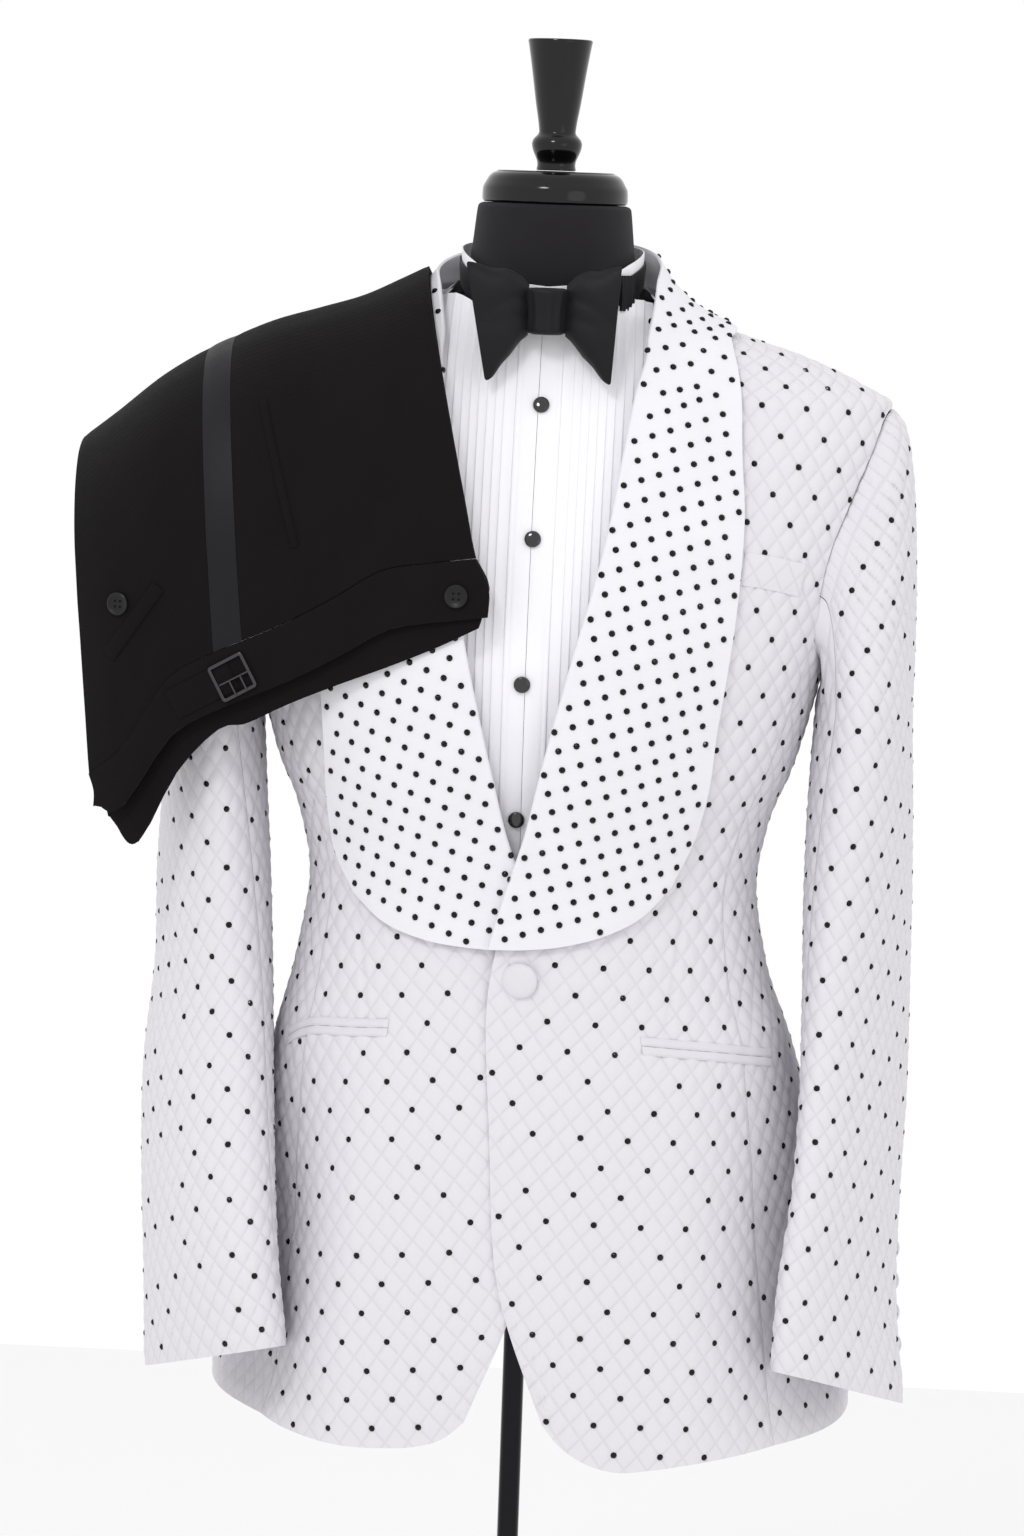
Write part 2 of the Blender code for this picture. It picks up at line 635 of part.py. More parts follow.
def bow_tie():
    half = COLLAR_HALF + SEAM_GAP + BAND_WALL
    wall("tie_band", neck_ring(half, BAND, 1, 2, 2), neck_ring(half - BAND_WALL, BAND, 1, 2, 2),
         SATIN, ring=True)
    knot = [  # radius shares along the knot's height
        (-0.0150, 0.80), (-0.0120, 0.97), (-0.0060, 0.93), (0.0, 0.90), (0.0060, 0.94),
        (0.0120, 1.00), (0.0150, 0.84),
    ]
    angle = np.arange(14) * 2 * math.pi / 14
    rings = []
    for rise, share in knot:
        x = KNOT_PLACE[0] + 0.0135 * share * np.cos(angle)
        y = KNOT_PLACE[1] + 0.0005 + 0.0115 * share * np.sin(angle)
        rings.append(np.stack([x, y, KNOT_PLACE[2] + rise + 0 * angle], -1))
    closed_rings("tie_knot", rings, SATIN)
    for side in (LEFT, RIGHT):
        tie_wing(side)
    # The hook and slide that shorten the band, on the wearer's left.
    degrees = np.radians(np.linspace(-42, -30, 5))
    height = np.linspace(1.4560, 1.4790, 3)[:, None]
    rings = []
    for out in (half * 1.01 + 2.2 * MM, half * 1.01 + 0.5 * MM):
        x, y = out[0] * np.cos(degrees), out[1] * np.sin(degrees)
        rings.append(np.stack([x + 0 * height, y + 0 * height, height + 0 * x], -1))
    wall("tie_band_slide", rings[0], rings[1], SATIN)


# ---------------------------------------------------------------- jacket body

SHOULDER_SEAM = [(2, 1.4615), (2, 1.4450), (2, 1.4240), TIP]
CENTRE_BACK = [(90, 0.722), (90, 0.90), (90, 1.075), (90, 1.25), (90, 1.38), (90, 1.4665)]
BACK_NECK = [(90, 1.4665), (60, 1.4655), (30, 1.4635), (2, 1.4615)]
SIDE_BACK = [(42, 0.717), (40, 0.90), (34, 1.075), (28, 1.18), BACK_SEAM]
SIDE_FRONT = {  # the wearer's right side seam shows further round
    LEFT: [(-41, 0.7145), (-39, 0.90), (-33, 1.075), (-27, 1.18), FRONT_SEAM],
    RIGHT: [(-36, 0.7155), (-35, 0.90), (-31, 1.075), (-26, 1.18), FRONT_SEAM],
}

# Front edge below the button, then the roll line, as (x, height).
FRONT_EDGE = {
    LEFT: [(0.026, 0.7360), (0.015, 0.7530), (0.007, 0.7730), (0.001, 0.795), (-0.006, 0.826),
           (-0.011, 0.867), (-0.015, 0.923), (-0.019, 0.972), (-0.020, 1.003), (-0.0195, 1.036)],
    RIGHT: [(-0.025, 0.734), (-0.0165, 0.748), (-0.010, 0.762), (-0.0045, 0.777), (0.000, 0.795),
            (0.009, 0.830), (0.016, 0.880), (0.021, 0.950), (0.022, 1.003), (0.0205, 1.036)],
}
ROLL = {
    LEFT: [(-0.0185, 1.0440), (-0.0165, 1.0550), (-0.0100, 1.0790), (-0.0010, 1.1090), (0.0050, 1.1370),
           (0.0160, 1.1860), (0.0290, 1.2390), (0.0410, 1.2860), (0.0490, 1.3250), (0.0575, 1.3800),
           (0.0620, 1.4090)],
    RIGHT: [(0.0195, 1.0440), (0.0150, 1.0550), (0.0030, 1.0800), (-0.0090, 1.1090), (-0.0160, 1.1370),
            (-0.0270, 1.1760), (-0.0420, 1.2390), (-0.0520, 1.2860), (-0.0580, 1.3250), (-0.0630, 1.3800),
            (-0.0650, 1.4090)],
}
ROLL_NECK = [(-61, 1.4370), (-44, 1.4505), (-24, 1.4580), (2, 1.4615)]
HEM_FRONT = {
    LEFT: [(0.026, 0.736), (0.033, 0.727), (0.046, 0.716), (0.059, 0.7095), (0.075, 0.7055), (0.092, 0.706),
           (0.125, 0.7095), (0.160, 0.7125)],
    RIGHT: [(-0.025, 0.734), (-0.034, 0.7255), (-0.044, 0.7195), (-0.058, 0.7155), (-0.080, 0.7125),
            (-0.105, 0.711), (-0.135, 0.7120), (-0.165, 0.7140)],
}
PANEL_SET_BACK = 2.7 * MM  # the front's raw edge behind the lapel's fold

LAP = [  # how far the wearer's left front is lifted where it laps over the right, in mm
    (0.70, 3.0), (0.98, 3.2), (1.035, 6.3), (1.090, 6.3), (1.240, 0.0),
]
SLEEVE_DENT = {  # how far the skirt is pushed in by the sleeve hanging against it, in mm
    LEFT: [(0.70, 10.0), (0.75, 18.0), (0.84, 20.0), (0.90, 15.0), (0.985, 0.0)],
    RIGHT: [(0.70, 14.5), (0.75, 28.0), (0.84, 29.0), (0.90, 20.0), (0.985, 1.0), (1.02, 0.0)],
}
SEAM_ROWS = (0, 0.13, 0.26, 0.38, 0.48, 0.56, 0.63, 0.69, 0.75, 0.82, 0.91, 1)


def jacket_lift(angle, height, side):
    """Lift of a panel's inner face: the lap at the front edge and the dent behind the sleeve."""
    place = on_body(angle, height)
    x, turn = side * place[..., 0], np.degrees(np.arctan2(place[..., 1], np.abs(place[..., 0])))
    near = np.clip(1 - np.abs(turn + 22) / np.where(turn > -22, 34, 30), 0, 1)
    lift = -smooth(SLEEVE_DENT[side], height) * ease_in_out(near)
    if side == LEFT:
        lift = lift + np.where(turn < 0, smooth(LAP, height) * ease_in_out((0.110 - x) / 0.080), 0)
    return lift * MM


def jacket_piece(name, grid, side, **edges):
    angle, height = grid[..., 0], grid[..., 1]
    lift = jacket_lift(angle, height, side)
    wall(name, inset(surface(angle, height, lift + JACKET_WALL), **edges),
         inset(surface(angle, height, lift), **edges), QUILT)


def roll_line(side, set_back=0.0):
    """From the bottom of the roll to the neck point, moved outwards by set_back."""
    rows = np.array(ROLL[side]) + (side * set_back, 0)
    neck = np.array(ROLL_NECK) + np.array([(1.5, -0.8 * MM), (0.5, -1.2 * MM), (0, -1.0 * MM), (0, 0)]) * (
        set_back > 0)
    return np.vstack([front(rows, side), around(neck, side)])


def jacket_front(side):
    word = "left" if side == LEFT else "right"
    seam = through(around(SIDE_FRONT[side], side), SEAM_ROWS)
    outer = np.vstack([seam, armhole(side)[0][::-1][1:]])
    edge = front(FRONT_EDGE[side], side)
    inner = through(np.vstack([edge, roll_line(side, PANEL_SET_BACK)]), fractions(outer))
    columns = np.linspace(0, 1, 10)
    hem = through(np.vstack([front(HEM_FRONT[side], side), seam[:1]]), columns)
    shoulder = through(around(SHOULDER_SEAM, side), columns)
    jacket_piece(f"jacket_front_{word}", patch(hem, shoulder, inner, outer), side,
                 right=SEAM_GAP / 2, top=SEAM_GAP / 2)


def jacket_side(side):
    word = "left" if side == LEFT else "right"
    before = through(around(SIDE_FRONT[side], side), SEAM_ROWS)
    behind = through(around(SIDE_BACK, side), SEAM_ROWS)
    under = armhole(side)[1]
    hem = np.linspace(before[0], behind[0], len(under))
    jacket_piece(f"jacket_side_{word}", patch(hem, under, before, behind), side,
                 left=SEAM_GAP / 2, right=SEAM_GAP / 2)


def jacket_back(side):
    word = "left" if side == LEFT else "right"
    seam = through(around(SIDE_BACK, side), SEAM_ROWS)
    outer = np.vstack([seam, armhole(side)[2][1:]])
    centre = through(around(CENTRE_BACK, side), fractions(outer))
    neck = through(around(BACK_NECK, side), np.linspace(0, 1, 4))
    shoulder = through(around(SHOULDER_SEAM, side), np.linspace(0, 1, 6))
    top = np.vstack([neck, shoulder[1:]])
    hem = through(np.linspace(centre[0], outer[0], 5), np.linspace(0, 1, len(top)))
    jacket_piece(f"jacket_back_{word}", patch(hem, top, centre, outer), side,
                 left=SEAM_GAP / 2, right=SEAM_GAP / 2, top=SEAM_GAP / 2)


# ---------------------------------------------------------------- sleeves

SLEEVE_WALL = 2.0 * MM
SLEEVE = {
    # height, out, depth, half_long, half_short, turn in degrees, tilt
    LEFT: [
        (1.195, 0.2190, 0.004, 0.0790, 0.0310, 86, 0.00),
        (1.130, 0.2195, 0.002, 0.0785, 0.0325, 81, 0.00),
        (1.060, 0.2210, 0.000, 0.0770, 0.0310, 75, 0.00),
        (1.000, 0.2225, -0.008, 0.0755, 0.0265, 70, -0.03),
        (0.930, 0.2230, -0.028, 0.0740, 0.0220, 66, -0.10),
        (0.865, 0.2200, -0.048, 0.0730, 0.0200, 64, -0.18),
        (0.800, 0.2170, -0.063, 0.0710, 0.0210, 59, -0.27),
        (0.749, 0.2200, -0.072, 0.0700, 0.0230, 54, -0.34),
    ],
    RIGHT: [
        (1.195, 0.2175, 0.004, 0.0790, 0.0310, 86, 0.00),
        (1.130, 0.2160, 0.002, 0.0785, 0.0335, 81, 0.00),
        (1.060, 0.2150, 0.000, 0.0770, 0.0360, 75, 0.00),
        (1.000, 0.2125, -0.010, 0.0750, 0.0355, 70, -0.03),
        (0.930, 0.2120, -0.034, 0.0735, 0.0375, 64, -0.10),
        (0.865, 0.2070, -0.056, 0.0720, 0.0355, 60, -0.16),
        (0.800, 0.2015, -0.071, 0.0700, 0.0335, 56, -0.25),
        (0.752, 0.1970, -0.078, 0.0690, 0.0315, 50, -0.32),
    ],
}
CAP_ROWS = 5
TUBE_ROWS = 8
FRONT_SLEEVE_SEAM, BACK_SLEEVE_SEAM = 7, 15  # of the 21 columns round the sleeve


def sleeve_section(side, height, turn):
    """Points of a sleeve's level section; turn 0 faces out, a quarter turn faces forward."""
    rows = np.array(SLEEVE[side])[::-1]
    out, depth, half_long, half_short, lean, tilt = (smooth(rows[:, (0, k)], height) for k in range(1, 7))
    lean = np.radians(lean)
    long = np.stack([np.cos(lean), np.sin(lean)])
    face = np.stack([np.sin(lean), -np.cos(lean)])
    along, across = -half_long * np.sin(turn), half_short * np.cos(turn)
    x = out + along * long[0] + across * face[0]
    y = depth + along * long[1] + across * face[1]
    return np.stack([side * x, y, height + tilt * along], -1)


def sleeve_grid(side):
    """Middle of the sleeve's wall: rows from the armhole to the cuff."""
    front_line, under, back = armhole(side)
    loop = np.vstack([front_line, under[1:], back[1:-1]])
    seam = surface(loop[:, 0], loop[:, 1], JACKET_WALL / 2)
    centre = seam.mean(axis=0)
    inward = centre - seam
    inward[:, 0] = 0
    inward /= np.linalg.norm(inward, axis=1, keepdims=True)
    seam = seam + inward * (SEAM_GAP + SLEEVE_WALL / 2 + 0.8 * MM)
    turn = np.arange(len(seam)) * 2 * math.pi / len(seam)
    top_height = SLEEVE[side][0][0]
    first = sleeve_section(side, np.full(len(turn), top_height), turn)
    reach = np.linalg.norm(first - seam, axis=1, keepdims=True)
    leave = np.array([[side, 0, 0.0]]) * (0.24 * reach + 12 * MM)
    arrive = np.array([[0, 0, -1.0]]) * 1.15 * reach
    rows = []
    for t in np.linspace(0, 1, CAP_ROWS + 1)[:-1]:
        rows.append((2 * t**3 - 3 * t**2 + 1) * seam + (t**3 - 2 * t**2 + t) * leave
                    + (3 * t**2 - 2 * t**3) * first + (t**3 - t**2) * arrive)
    for height in np.linspace(top_height, SLEEVE[side][-1][0], TUBE_ROWS):
        rows.append(sleeve_section(side, np.full(len(turn), height), turn))
    return np.array(rows)


def sleeve(side):
    word = "left" if side == LEFT else "right"
    grid = sleeve_grid(side)
    normal = normals(grid, ring=True)
    normal *= np.sign(np.sum(normal[-1, 0] * (side, 0, 0)))
    outside = grid + normal * SLEEVE_WALL / 2
    inside = grid - normal * SLEEVE_WALL / 2
    count = grid.shape[1]
    spans = {
        "sleeve_under": range(FRONT_SLEEVE_SEAM, BACK_SLEEVE_SEAM + 1),
        "sleeve_top": range(BACK_SLEEVE_SEAM, FRONT_SLEEVE_SEAM + count + 1),
    }
    for name, span in spans.items():
        columns = [c % count for c in span]
        edges = {"left": 0.3 * MM, "right": 0.3 * MM}
        wall(f"{name}_{word}", inset(outside[:, columns], **edges),
             inset(inside[:, columns], **edges), QUILT)


# ---------------------------------------------------------------- shawl lapels and collar

LAPEL_LIFT = JACKET_WALL + 2.2 * MM  # underside of the lapel above the body surface
LAPEL_EDGE = {  # lower edge from the bottom of the roll to the round of the corner
    LEFT: [(-0.0185, 1.0435), (0.003, 1.0445), (0.021, 1.0465), (0.039, 1.051), (0.056, 1.0565),
           (0.071, 1.0645), (0.081, 1.0745), (0.092, 1.0870)],
    RIGHT: [(0.0195, 1.0435), (-0.017, 1.0430), (-0.039, 1.0440), (-0.052, 1.0450), (-0.067, 1.0480),
            (-0.083, 1.053), (-0.094, 1.0600), (-0.1075, 1.0720)],
}
LAPEL_OUTER = {
    LEFT: [(0.092, 1.0870), (0.100, 1.100), (0.108, 1.126), (0.113, 1.146), (0.118, 1.189),
           (0.124, 1.232), (0.1275, 1.262), (0.1305, 1.300), (0.131, 1.343), (0.128, 1.378),
           (0.1245, 1.408), (0.1180, 1.4330)],
    RIGHT: [(-0.1075, 1.0720), (-0.118, 1.0900), (-0.123, 1.108), (-0.1265, 1.131), (-0.129, 1.163),
            (-0.132, 1.200), (-0.1350, 1.250), (-0.1370, 1.300), (-0.1365, 1.343), (-0.134, 1.378),
            (-0.1290, 1.408), (-0.1210, 1.4330)],
}
COLLAR_OUTER = [(-14, 1.4400), (2, 1.4430), (30, 1.4440), (60, 1.4450), (90, 1.4460)]
RISE = {  # how the fold line stands above the neck seam, and how far it draws in, in mm
    LEFT: [
        # degrees, rise, draw_in
        (-61, 0.0, 0.0), (-44, 5.0, 1.5), (-24, 14.0, 6.5), (2, 20.5, 9.0), (45, 28.0, 4.0),
        (90, 31.0, -5.0),
    ],
    RIGHT: [  # pressed down by the trousers
        (-61, 0.0, 0.0), (-44, 3.5, 1.0), (-24, 9.0, 4.0), (2, 13.5, 6.0), (45, 22.0, 3.0),
        (90, 31.0, -5.0),
    ],
}
LAPEL_ROWS = 25
LAPEL_SHARES = (0.0, 0.05, 0.18, 0.36, 0.57, 0.79, 1.0)  # from the roll to the outer edge


def lapel_grid(side):
    """Middle of the lapel's wall: rows up from the bottom and round to the centre back."""
    roll = np.vstack([roll_line(side), around(BACK_NECK, side)[::-1][1:]])
    outer = np.vstack([front(LAPEL_OUTER[side], side), around(COLLAR_OUTER, side)])
    rows = np.linspace(0, 1, LAPEL_ROWS)
    left = through(roll, rows)
    right = through(outer, rows)
    shares = np.array(LAPEL_SHARES)
    bottom = through(front(LAPEL_EDGE[side], side), shares)
    top = left[-1] + (right[-1] - left[-1]) * shares[:, None]
    grid = patch(bottom, top, left, right)
    angle, height = grid[..., 0], grid[..., 1]
    middle = surface(angle, height, jacket_lift(angle, height, side) + LAPEL_LIFT + LAPEL_WALL / 2)
    turn = np.degrees(left[:, 0] if side == LEFT else math.pi - left[:, 0])
    rise = smooth([(r[0], r[1]) for r in RISE[side]], turn)[:, None] * MM
    draw_in = smooth([(r[0], r[2]) for r in RISE[side]], turn)[:, None] * MM
    flat = middle[:, 0] * (1, 1, 0)
    radial = flat / np.linalg.norm(flat, axis=1, keepdims=True)
    fade = ((1 - shares) ** 3)[None, :, None]
    lifted = middle + fade * (rise[:, None] * (0, 0, 1) - draw_in[:, None] * radial[:, None])
    # The cloth turns under at the roll, and stands up from the neck seam at the back.
    fold, seam = lifted[:, 0], middle[:, 0] + (0, 0, 1.0 * MM)
    away = lifted[:, 1] - fold
    away /= np.linalg.norm(away, axis=1, keepdims=True)
    normal = surface(left[:, 0], left[:, 1], 0.01) - surface(left[:, 0], left[:, 1], 0.0)
    normal /= np.linalg.norm(normal, axis=1, keepdims=True)
    stand = ease_in_out(rise / 0.010)
    turned_under = fold - normal * (LAPEL_LIFT - 0.2 * MM) + away * 1.0 * MM
    under = (1 - stand) * turned_under + stand * seam
    between = 0.5 * (fold + under) - (1 - stand) * 0.5 * MM * away - stand * 1.5 * MM * radial
    return np.concatenate([under[:, None], between[:, None], lifted], axis=1)


def lapel(side):
    word = "left" if side == LEFT else "right"
    grid = lapel_grid(side)
    normal = normals(grid)
    if np.dot(normal[LAPEL_ROWS // 3, 5], (0, -1, 0)) < 0:
        normal = -normal
    edges = {"top": SEAM_GAP / 2}
    wall(f"lapel_{word}", inset(grid + normal * LAPEL_WALL / 2, **edges),
         inset(grid - normal * LAPEL_WALL / 2, **edges), LAPEL_CLOTH)


# ---------------------------------------------------------------- pockets and buttons

JET_HEIGHT = 5.6 * MM
JET_WALL = 1.2 * MM
HIP_POCKET = {  # x and height of the slit's middle; its back end passes round under the sleeve
    LEFT: [(0.080, 0.9835), (0.115, 0.9790), (0.145, 0.9735)],
    RIGHT: [(-0.0840, 0.9870), (-0.110, 0.9838), (-0.138, 0.9790)],
}
HIP_POCKET_END = (-24, 0.9670)
WELT = [(0.1325, 1.2950), (0.150, 1.2925), (0.1715, 1.2870)]  # the chest pocket's middle line
WELT_HEIGHT = 21 * MM


def strip_on_body(name, tree, line, half_height, columns, material, gap=SEAM_GAP):
    """A strip laid on the jacket, half_height up and down from an (angle, height) line."""
    middle = through(line, np.linspace(0, 1, columns))
    place = np.array([middle + (0, level) for level in (-half_height, 0, half_height)])
    under = surface(place[..., 0], place[..., 1], 0.0)
    inward = under - surface(place[..., 0], place[..., 1], 0.01)
    laid_strip(name, tree, under, inward, JET_WALL, material, gap)


def pockets():
    for side in (LEFT, RIGHT):
        word = "left" if side == LEFT else "right"
        tree = resting_tree((f"jacket_front_{word}", f"jacket_side_{word}"))
        line = np.vstack([front(HIP_POCKET[side], side), around([HIP_POCKET_END], side)])
        for place, step in (("upper", 1), ("lower", -1)):
            middle = line + (0, step * (JET_HEIGHT + SEAM_GAP) / 2)
            strip_on_body(f"hip_pocket_{word}_{place}_jet", tree, middle, JET_HEIGHT / 2, 8, QUILT,
                          0.85 * MM)
        if side == LEFT:
            strip_on_body("chest_pocket_welt", tree, front(WELT), WELT_HEIGHT / 2, 4, QUILT, 0.7 * MM)


FRONT_BUTTON = (0.001, 1.0250)
FRONT_BUTTON_RADIUS = 11.8 * MM
CUFF_BUTTON_RADIUS = 9.2 * MM
CUFF_BUTTONS = 4
CUFF_BUTTON_STEP = 19.2 * MM
CUFF_BUTTON_ABOVE_HEM = 34 * MM
CUFF_BUTTON_TURN = 266  # degrees round the sleeve from its outer face


def domed(radius):
    """Profile of a cloth-covered button."""
    return [(0.80 * radius, 0.0), (radius, 0.20 * radius), (0.62 * radius, 0.45 * radius)]


def buttons():
    angle, height = front([FRONT_BUTTON])[0]
    outer, inner = (surface(angle, height, lift) for lift in (0.01, 0.0))
    laid_button("front_button", resting_tree(("jacket_front_left",)), inner, inner - outer,
                domed(FRONT_BUTTON_RADIUS), 18, QUILT)
    for side in (LEFT, RIGHT):
        word = "left" if side == LEFT else "right"
        tree = resting_tree((f"sleeve_top_{word}", f"sleeve_under_{word}"))
        turn = math.radians(CUFF_BUTTON_TURN)
        for number in range(CUFF_BUTTONS):
            level = SLEEVE[side][-1][0] + CUFF_BUTTON_ABOVE_HEM + number * CUFF_BUTTON_STEP
            here, on_way, above = (sleeve_section(side, np.array(level + up), np.array(turn + more))
                                   for up, more in ((0, 0), (0, 0.05), (0.004, 0)))
            out = np.cross(on_way - here, above - here)
            out *= np.sign(out[1])
            laid_button(f"cuff_button_{word}_{number + 1}", tree, here, -out, domed(CUFF_BUTTON_RADIUS), 10,
                        QUILT, 0.6 * MM)


def jacket():
    for side in (LEFT, RIGHT):
        jacket_front(side)
        jacket_side(side)
        jacket_back(side)
        sleeve(side)
        lapel(side)
    pockets()
    buttons()


# ---------------------------------------------------------------- trousers over the shoulder

# They hang folded along the creases and again at the knee. Each row below is one column of the
# grid, from the edge by the neck to the outer edge: the top of the fold over the shoulder, the
# waist edge of the near and of the far half, as (x, height), and how thick the fold lies there.
TROUSERS = np.array([
    # top_x, top, near_x, near, far_x, far, thick in mm
    (-0.0795, 1.4790, -0.0270, 1.2610, -0.0330, 1.2540, 3.6),
    (-0.0970, 1.4700, -0.0580, 1.2565, -0.0600, 1.2400, 4.2),
    (-0.1220, 1.4580, -0.0900, 1.2500, -0.0920, 1.2255, 5.0),
    (-0.1500, 1.4490, -0.1220, 1.2310, -0.1240, 1.2120, 6.2),
    (-0.1790, 1.4400, -0.1540, 1.2135, -0.1560, 1.1975, 7.5),
    (-0.2040, 1.4290, -0.1810, 1.2010, -0.1830, 1.1835, 8.6),
    (-0.2210, 1.4205, -0.2000, 1.1920, -0.2020, 1.1780, 9.2),
    (-0.2500, 1.4020, -0.2300, 1.1730, -0.2290, 1.1480, 9.6),
    (-0.2800, 1.3770, -0.2620, 1.1250, -0.2560, 1.0990, 9.6),
    (-0.3030, 1.3590, -0.2890, 1.0960, -0.2840, 1.0900, 9.0),
])
STRIPE_COLUMNS = (5, 6)
WAISTBAND_HEIGHT = 37 * MM
KNEE_FOLD = 1.185  # height of the fold behind
ARCH_FRONT = [  # x, depth of the hanging front, and the height over which the cloth arches to it
    (-0.310, 0.062, 0.080), (-0.260, 0.092, 0.100), (-0.200, 0.106, 0.140), (-0.140, 0.117, 0.190),
    (-0.080, 0.130, 0.235), (-0.020, 0.137, 0.250),
]
ARCH_BACK = [
    (-0.310, 0.060, 0.080), (-0.250, 0.092, 0.100), (-0.180, 0.104, 0.140), (-0.120, 0.118, 0.190),
    (-0.070, 0.124, 0.235), (-0.020, 0.124, 0.250),
]
FRONT_DROPS = np.linspace(0, 1, 9)[1:] ** 1.7  # rows from the top of the fold to the waistband
BACK_DROPS = np.linspace(0, 1, 8)[1:] ** 1.7


def trouser_depth(x, height, top, behind):
    """How far in front of or behind the shoulder the cloth's under side hangs."""
    rows = ARCH_BACK if behind else ARCH_FRONT
    deep, arch = smooth([r[:2] for r in rows], x), smooth([(r[0], r[2]) for r in rows], x)
    rise = np.clip((height - top + arch) / arch, 0, 1)
    hang = deep * np.sqrt(1 - rise ** 2)
    half, front_depth, back_depth, power, shift = (smooth(BODY[:, (0, k)], height) for k in range(1, 6))
    room = (5.9 if behind else 8.4) * MM
    across = np.clip(np.abs(x - shift) / (half + room), 0, 1)
    body = ((back_depth if behind else front_depth) + room) * (1 - across ** power) ** (1 / power)
    return np.maximum(hang, body)


def trouser_grid():
    """Under side of the folded trousers: rows from the near waist edge, over the top, to the knee."""
    top_x, top, near_x, near, far_x, far, thick = TROUSERS.T
    top = top - thick * MM
    rows = []
    for edge_x, edge, share in ((far_x, far, 1.0), (near_x, near, 1.0), (near_x, near, 0.5)):
        rows.append((edge_x, edge + (1 - share) * WAISTBAND_HEIGHT, False))
    band_top = near + WAISTBAND_HEIGHT
    lean = (near_x - top_x) / (top - near)
    band_x = near_x - lean * WAISTBAND_HEIGHT
    for drop in FRONT_DROPS[::-1]:
        rows.append((top_x + drop * (band_x - top_x), top + drop * (band_top - top), False))
    rows.append((top_x, top, False))
    for drop in BACK_DROPS:
        spread = top_x + drop * 0.03 * (top_x + 0.19)
        rows.append((spread, top + drop * (KNEE_FOLD - top), True))
    grid = []
    for x, height, behind in rows:
        deep = trouser_depth(x, np.minimum(height, top), top, behind)
        grid.append(np.stack([x, deep if behind else -deep, height], -1))
    return np.array(grid)


def trousers():
    under = trouser_grid()
    normal = normals(under)
    if normal[5, 4, 1] > 0:
        normal = -normal
    thick = TROUSERS[None, :, 6, None] * MM
    waist, core, last = slice(0, 4), slice(3, None), STRIPE_COLUMNS[1]
    level = lambda lift: under + lift * normal
    # Hidden layers: a rounded slab whose edges show the folds as ridges.
    lifts = [0.0, 0.16, 0.33, 0.50, 0.67, 0.84, 1.0]
    pull = [1.8, 0.2, 1.5, 0.2, 1.5, 0.2, 1.8]
    layers = [inset(level(0.3 * MM + share * (thick - 0.3 * MM))[core], *4 * [draw * MM])
              for share, draw in zip(lifts, pull)]
    layered("trousers_fold", layers, WOOL)
    seam = SEAM_GAP / 2
    over, top_face = level(thick + SEAM_GAP), level(thick + SEAM_GAP + TROUSER_WALL)
    for name, columns, material in (
        ("trousers_front_left", slice(0, STRIPE_COLUMNS[0] + 1), WOOL),
        ("trousers_stripe", slice(STRIPE_COLUMNS[0], last + 1), SATIN),
        ("trousers_back_left", slice(last, None), WOOL),
    ):
        edges = {"bottom": seam, "left": seam, "right": seam}
        wall(name, inset(top_face[core, columns], **edges), inset(over[core, columns], **edges), material)
    near, far = [1, 2, 3], [0, 2, 3]
    band = {"top": seam}
    wall("trousers_waistband_left", inset(level(thick + SEAM_GAP + 2.0 * MM)[near], **band),
         inset(level(thick - 0.4 * MM)[near], **band), WOOL)
    wall("trousers_waistband_right", inset(level(2.2 * MM)[far], top=0.5 * MM),
         inset(level(0.2 * MM)[far], top=0.5 * MM), WOOL)
    trouser_trim()


def layered(name, layers, material):
    """A slab from grids of points stacked through its thickness, closed round the rim."""
    rows, columns = layers[0].shape[:2]
    index = np.arange(rows * columns).reshape(rows, columns)
    rim = np.concatenate([index[0, :-1], index[:-1, -1], index[-1, :0:-1], index[:0:-1, 0]])
    points = [layers[0].reshape(-1, 3)]
    faces = []
    for sheet, turned in ((0, False), (rows * columns, True)):
        quads = np.stack([index[:-1, :-1], index[:-1, 1:], index[1:, 1:], index[1:, :-1]], -1).reshape(-1, 4)
        faces += [list((q[[0, 3, 2, 1]] if turned else q) + sheet) for q in quads]
    points.append(layers[-1].reshape(-1, 3))
    rings = [rim]
    start = 2 * rows * columns
    for layer in layers[1:-1]:
        rings.append(np.arange(len(rim)) + start)
        points.append(layer.reshape(-1, 3)[rim])
        start += len(rim)
    rings.append(rim + rows * columns)
    for low, high in zip(rings, rings[1:]):
        low, high = np.append(low, low[0]), np.append(high, high[0])
        faces += [[d, c, b, a] for a, b, c, d in zip(low, low[1:], high[1:], high)]
    return solid(name, np.concatenate(points), faces, material)


FACING_BACK = np.array([0.0, 1.0, 0.0])  # the way in, for trim laid on the hanging front


def trim_strip(name, tree, line, half_width, columns, thickness, material, gap=SEAM_GAP):
    """A strip along an (x, height) line, half_width to each side of it, laid on the front."""
    line = np.array(line, float)
    share = np.concatenate([[0], np.cumsum(np.linalg.norm(np.diff(line, axis=0), axis=1))])
    at = np.linspace(0, share[-1], columns)
    middle = np.stack([np.interp(at, share, axis) for axis in line.T], -1)
    along = np.gradient(middle, axis=0)
    along /= np.linalg.norm(along, axis=1, keepdims=True)
    side = np.stack([-along[:, 1], along[:, 0]], -1) * half_width
    flat = np.array([middle - side, middle, middle + side])
    points = np.stack([flat[..., 0], 0 * flat[..., 0] - 0.11, flat[..., 1]], -1)
    laid_strip(name, tree, points, FACING_BACK + 0 * points, thickness, material, gap)


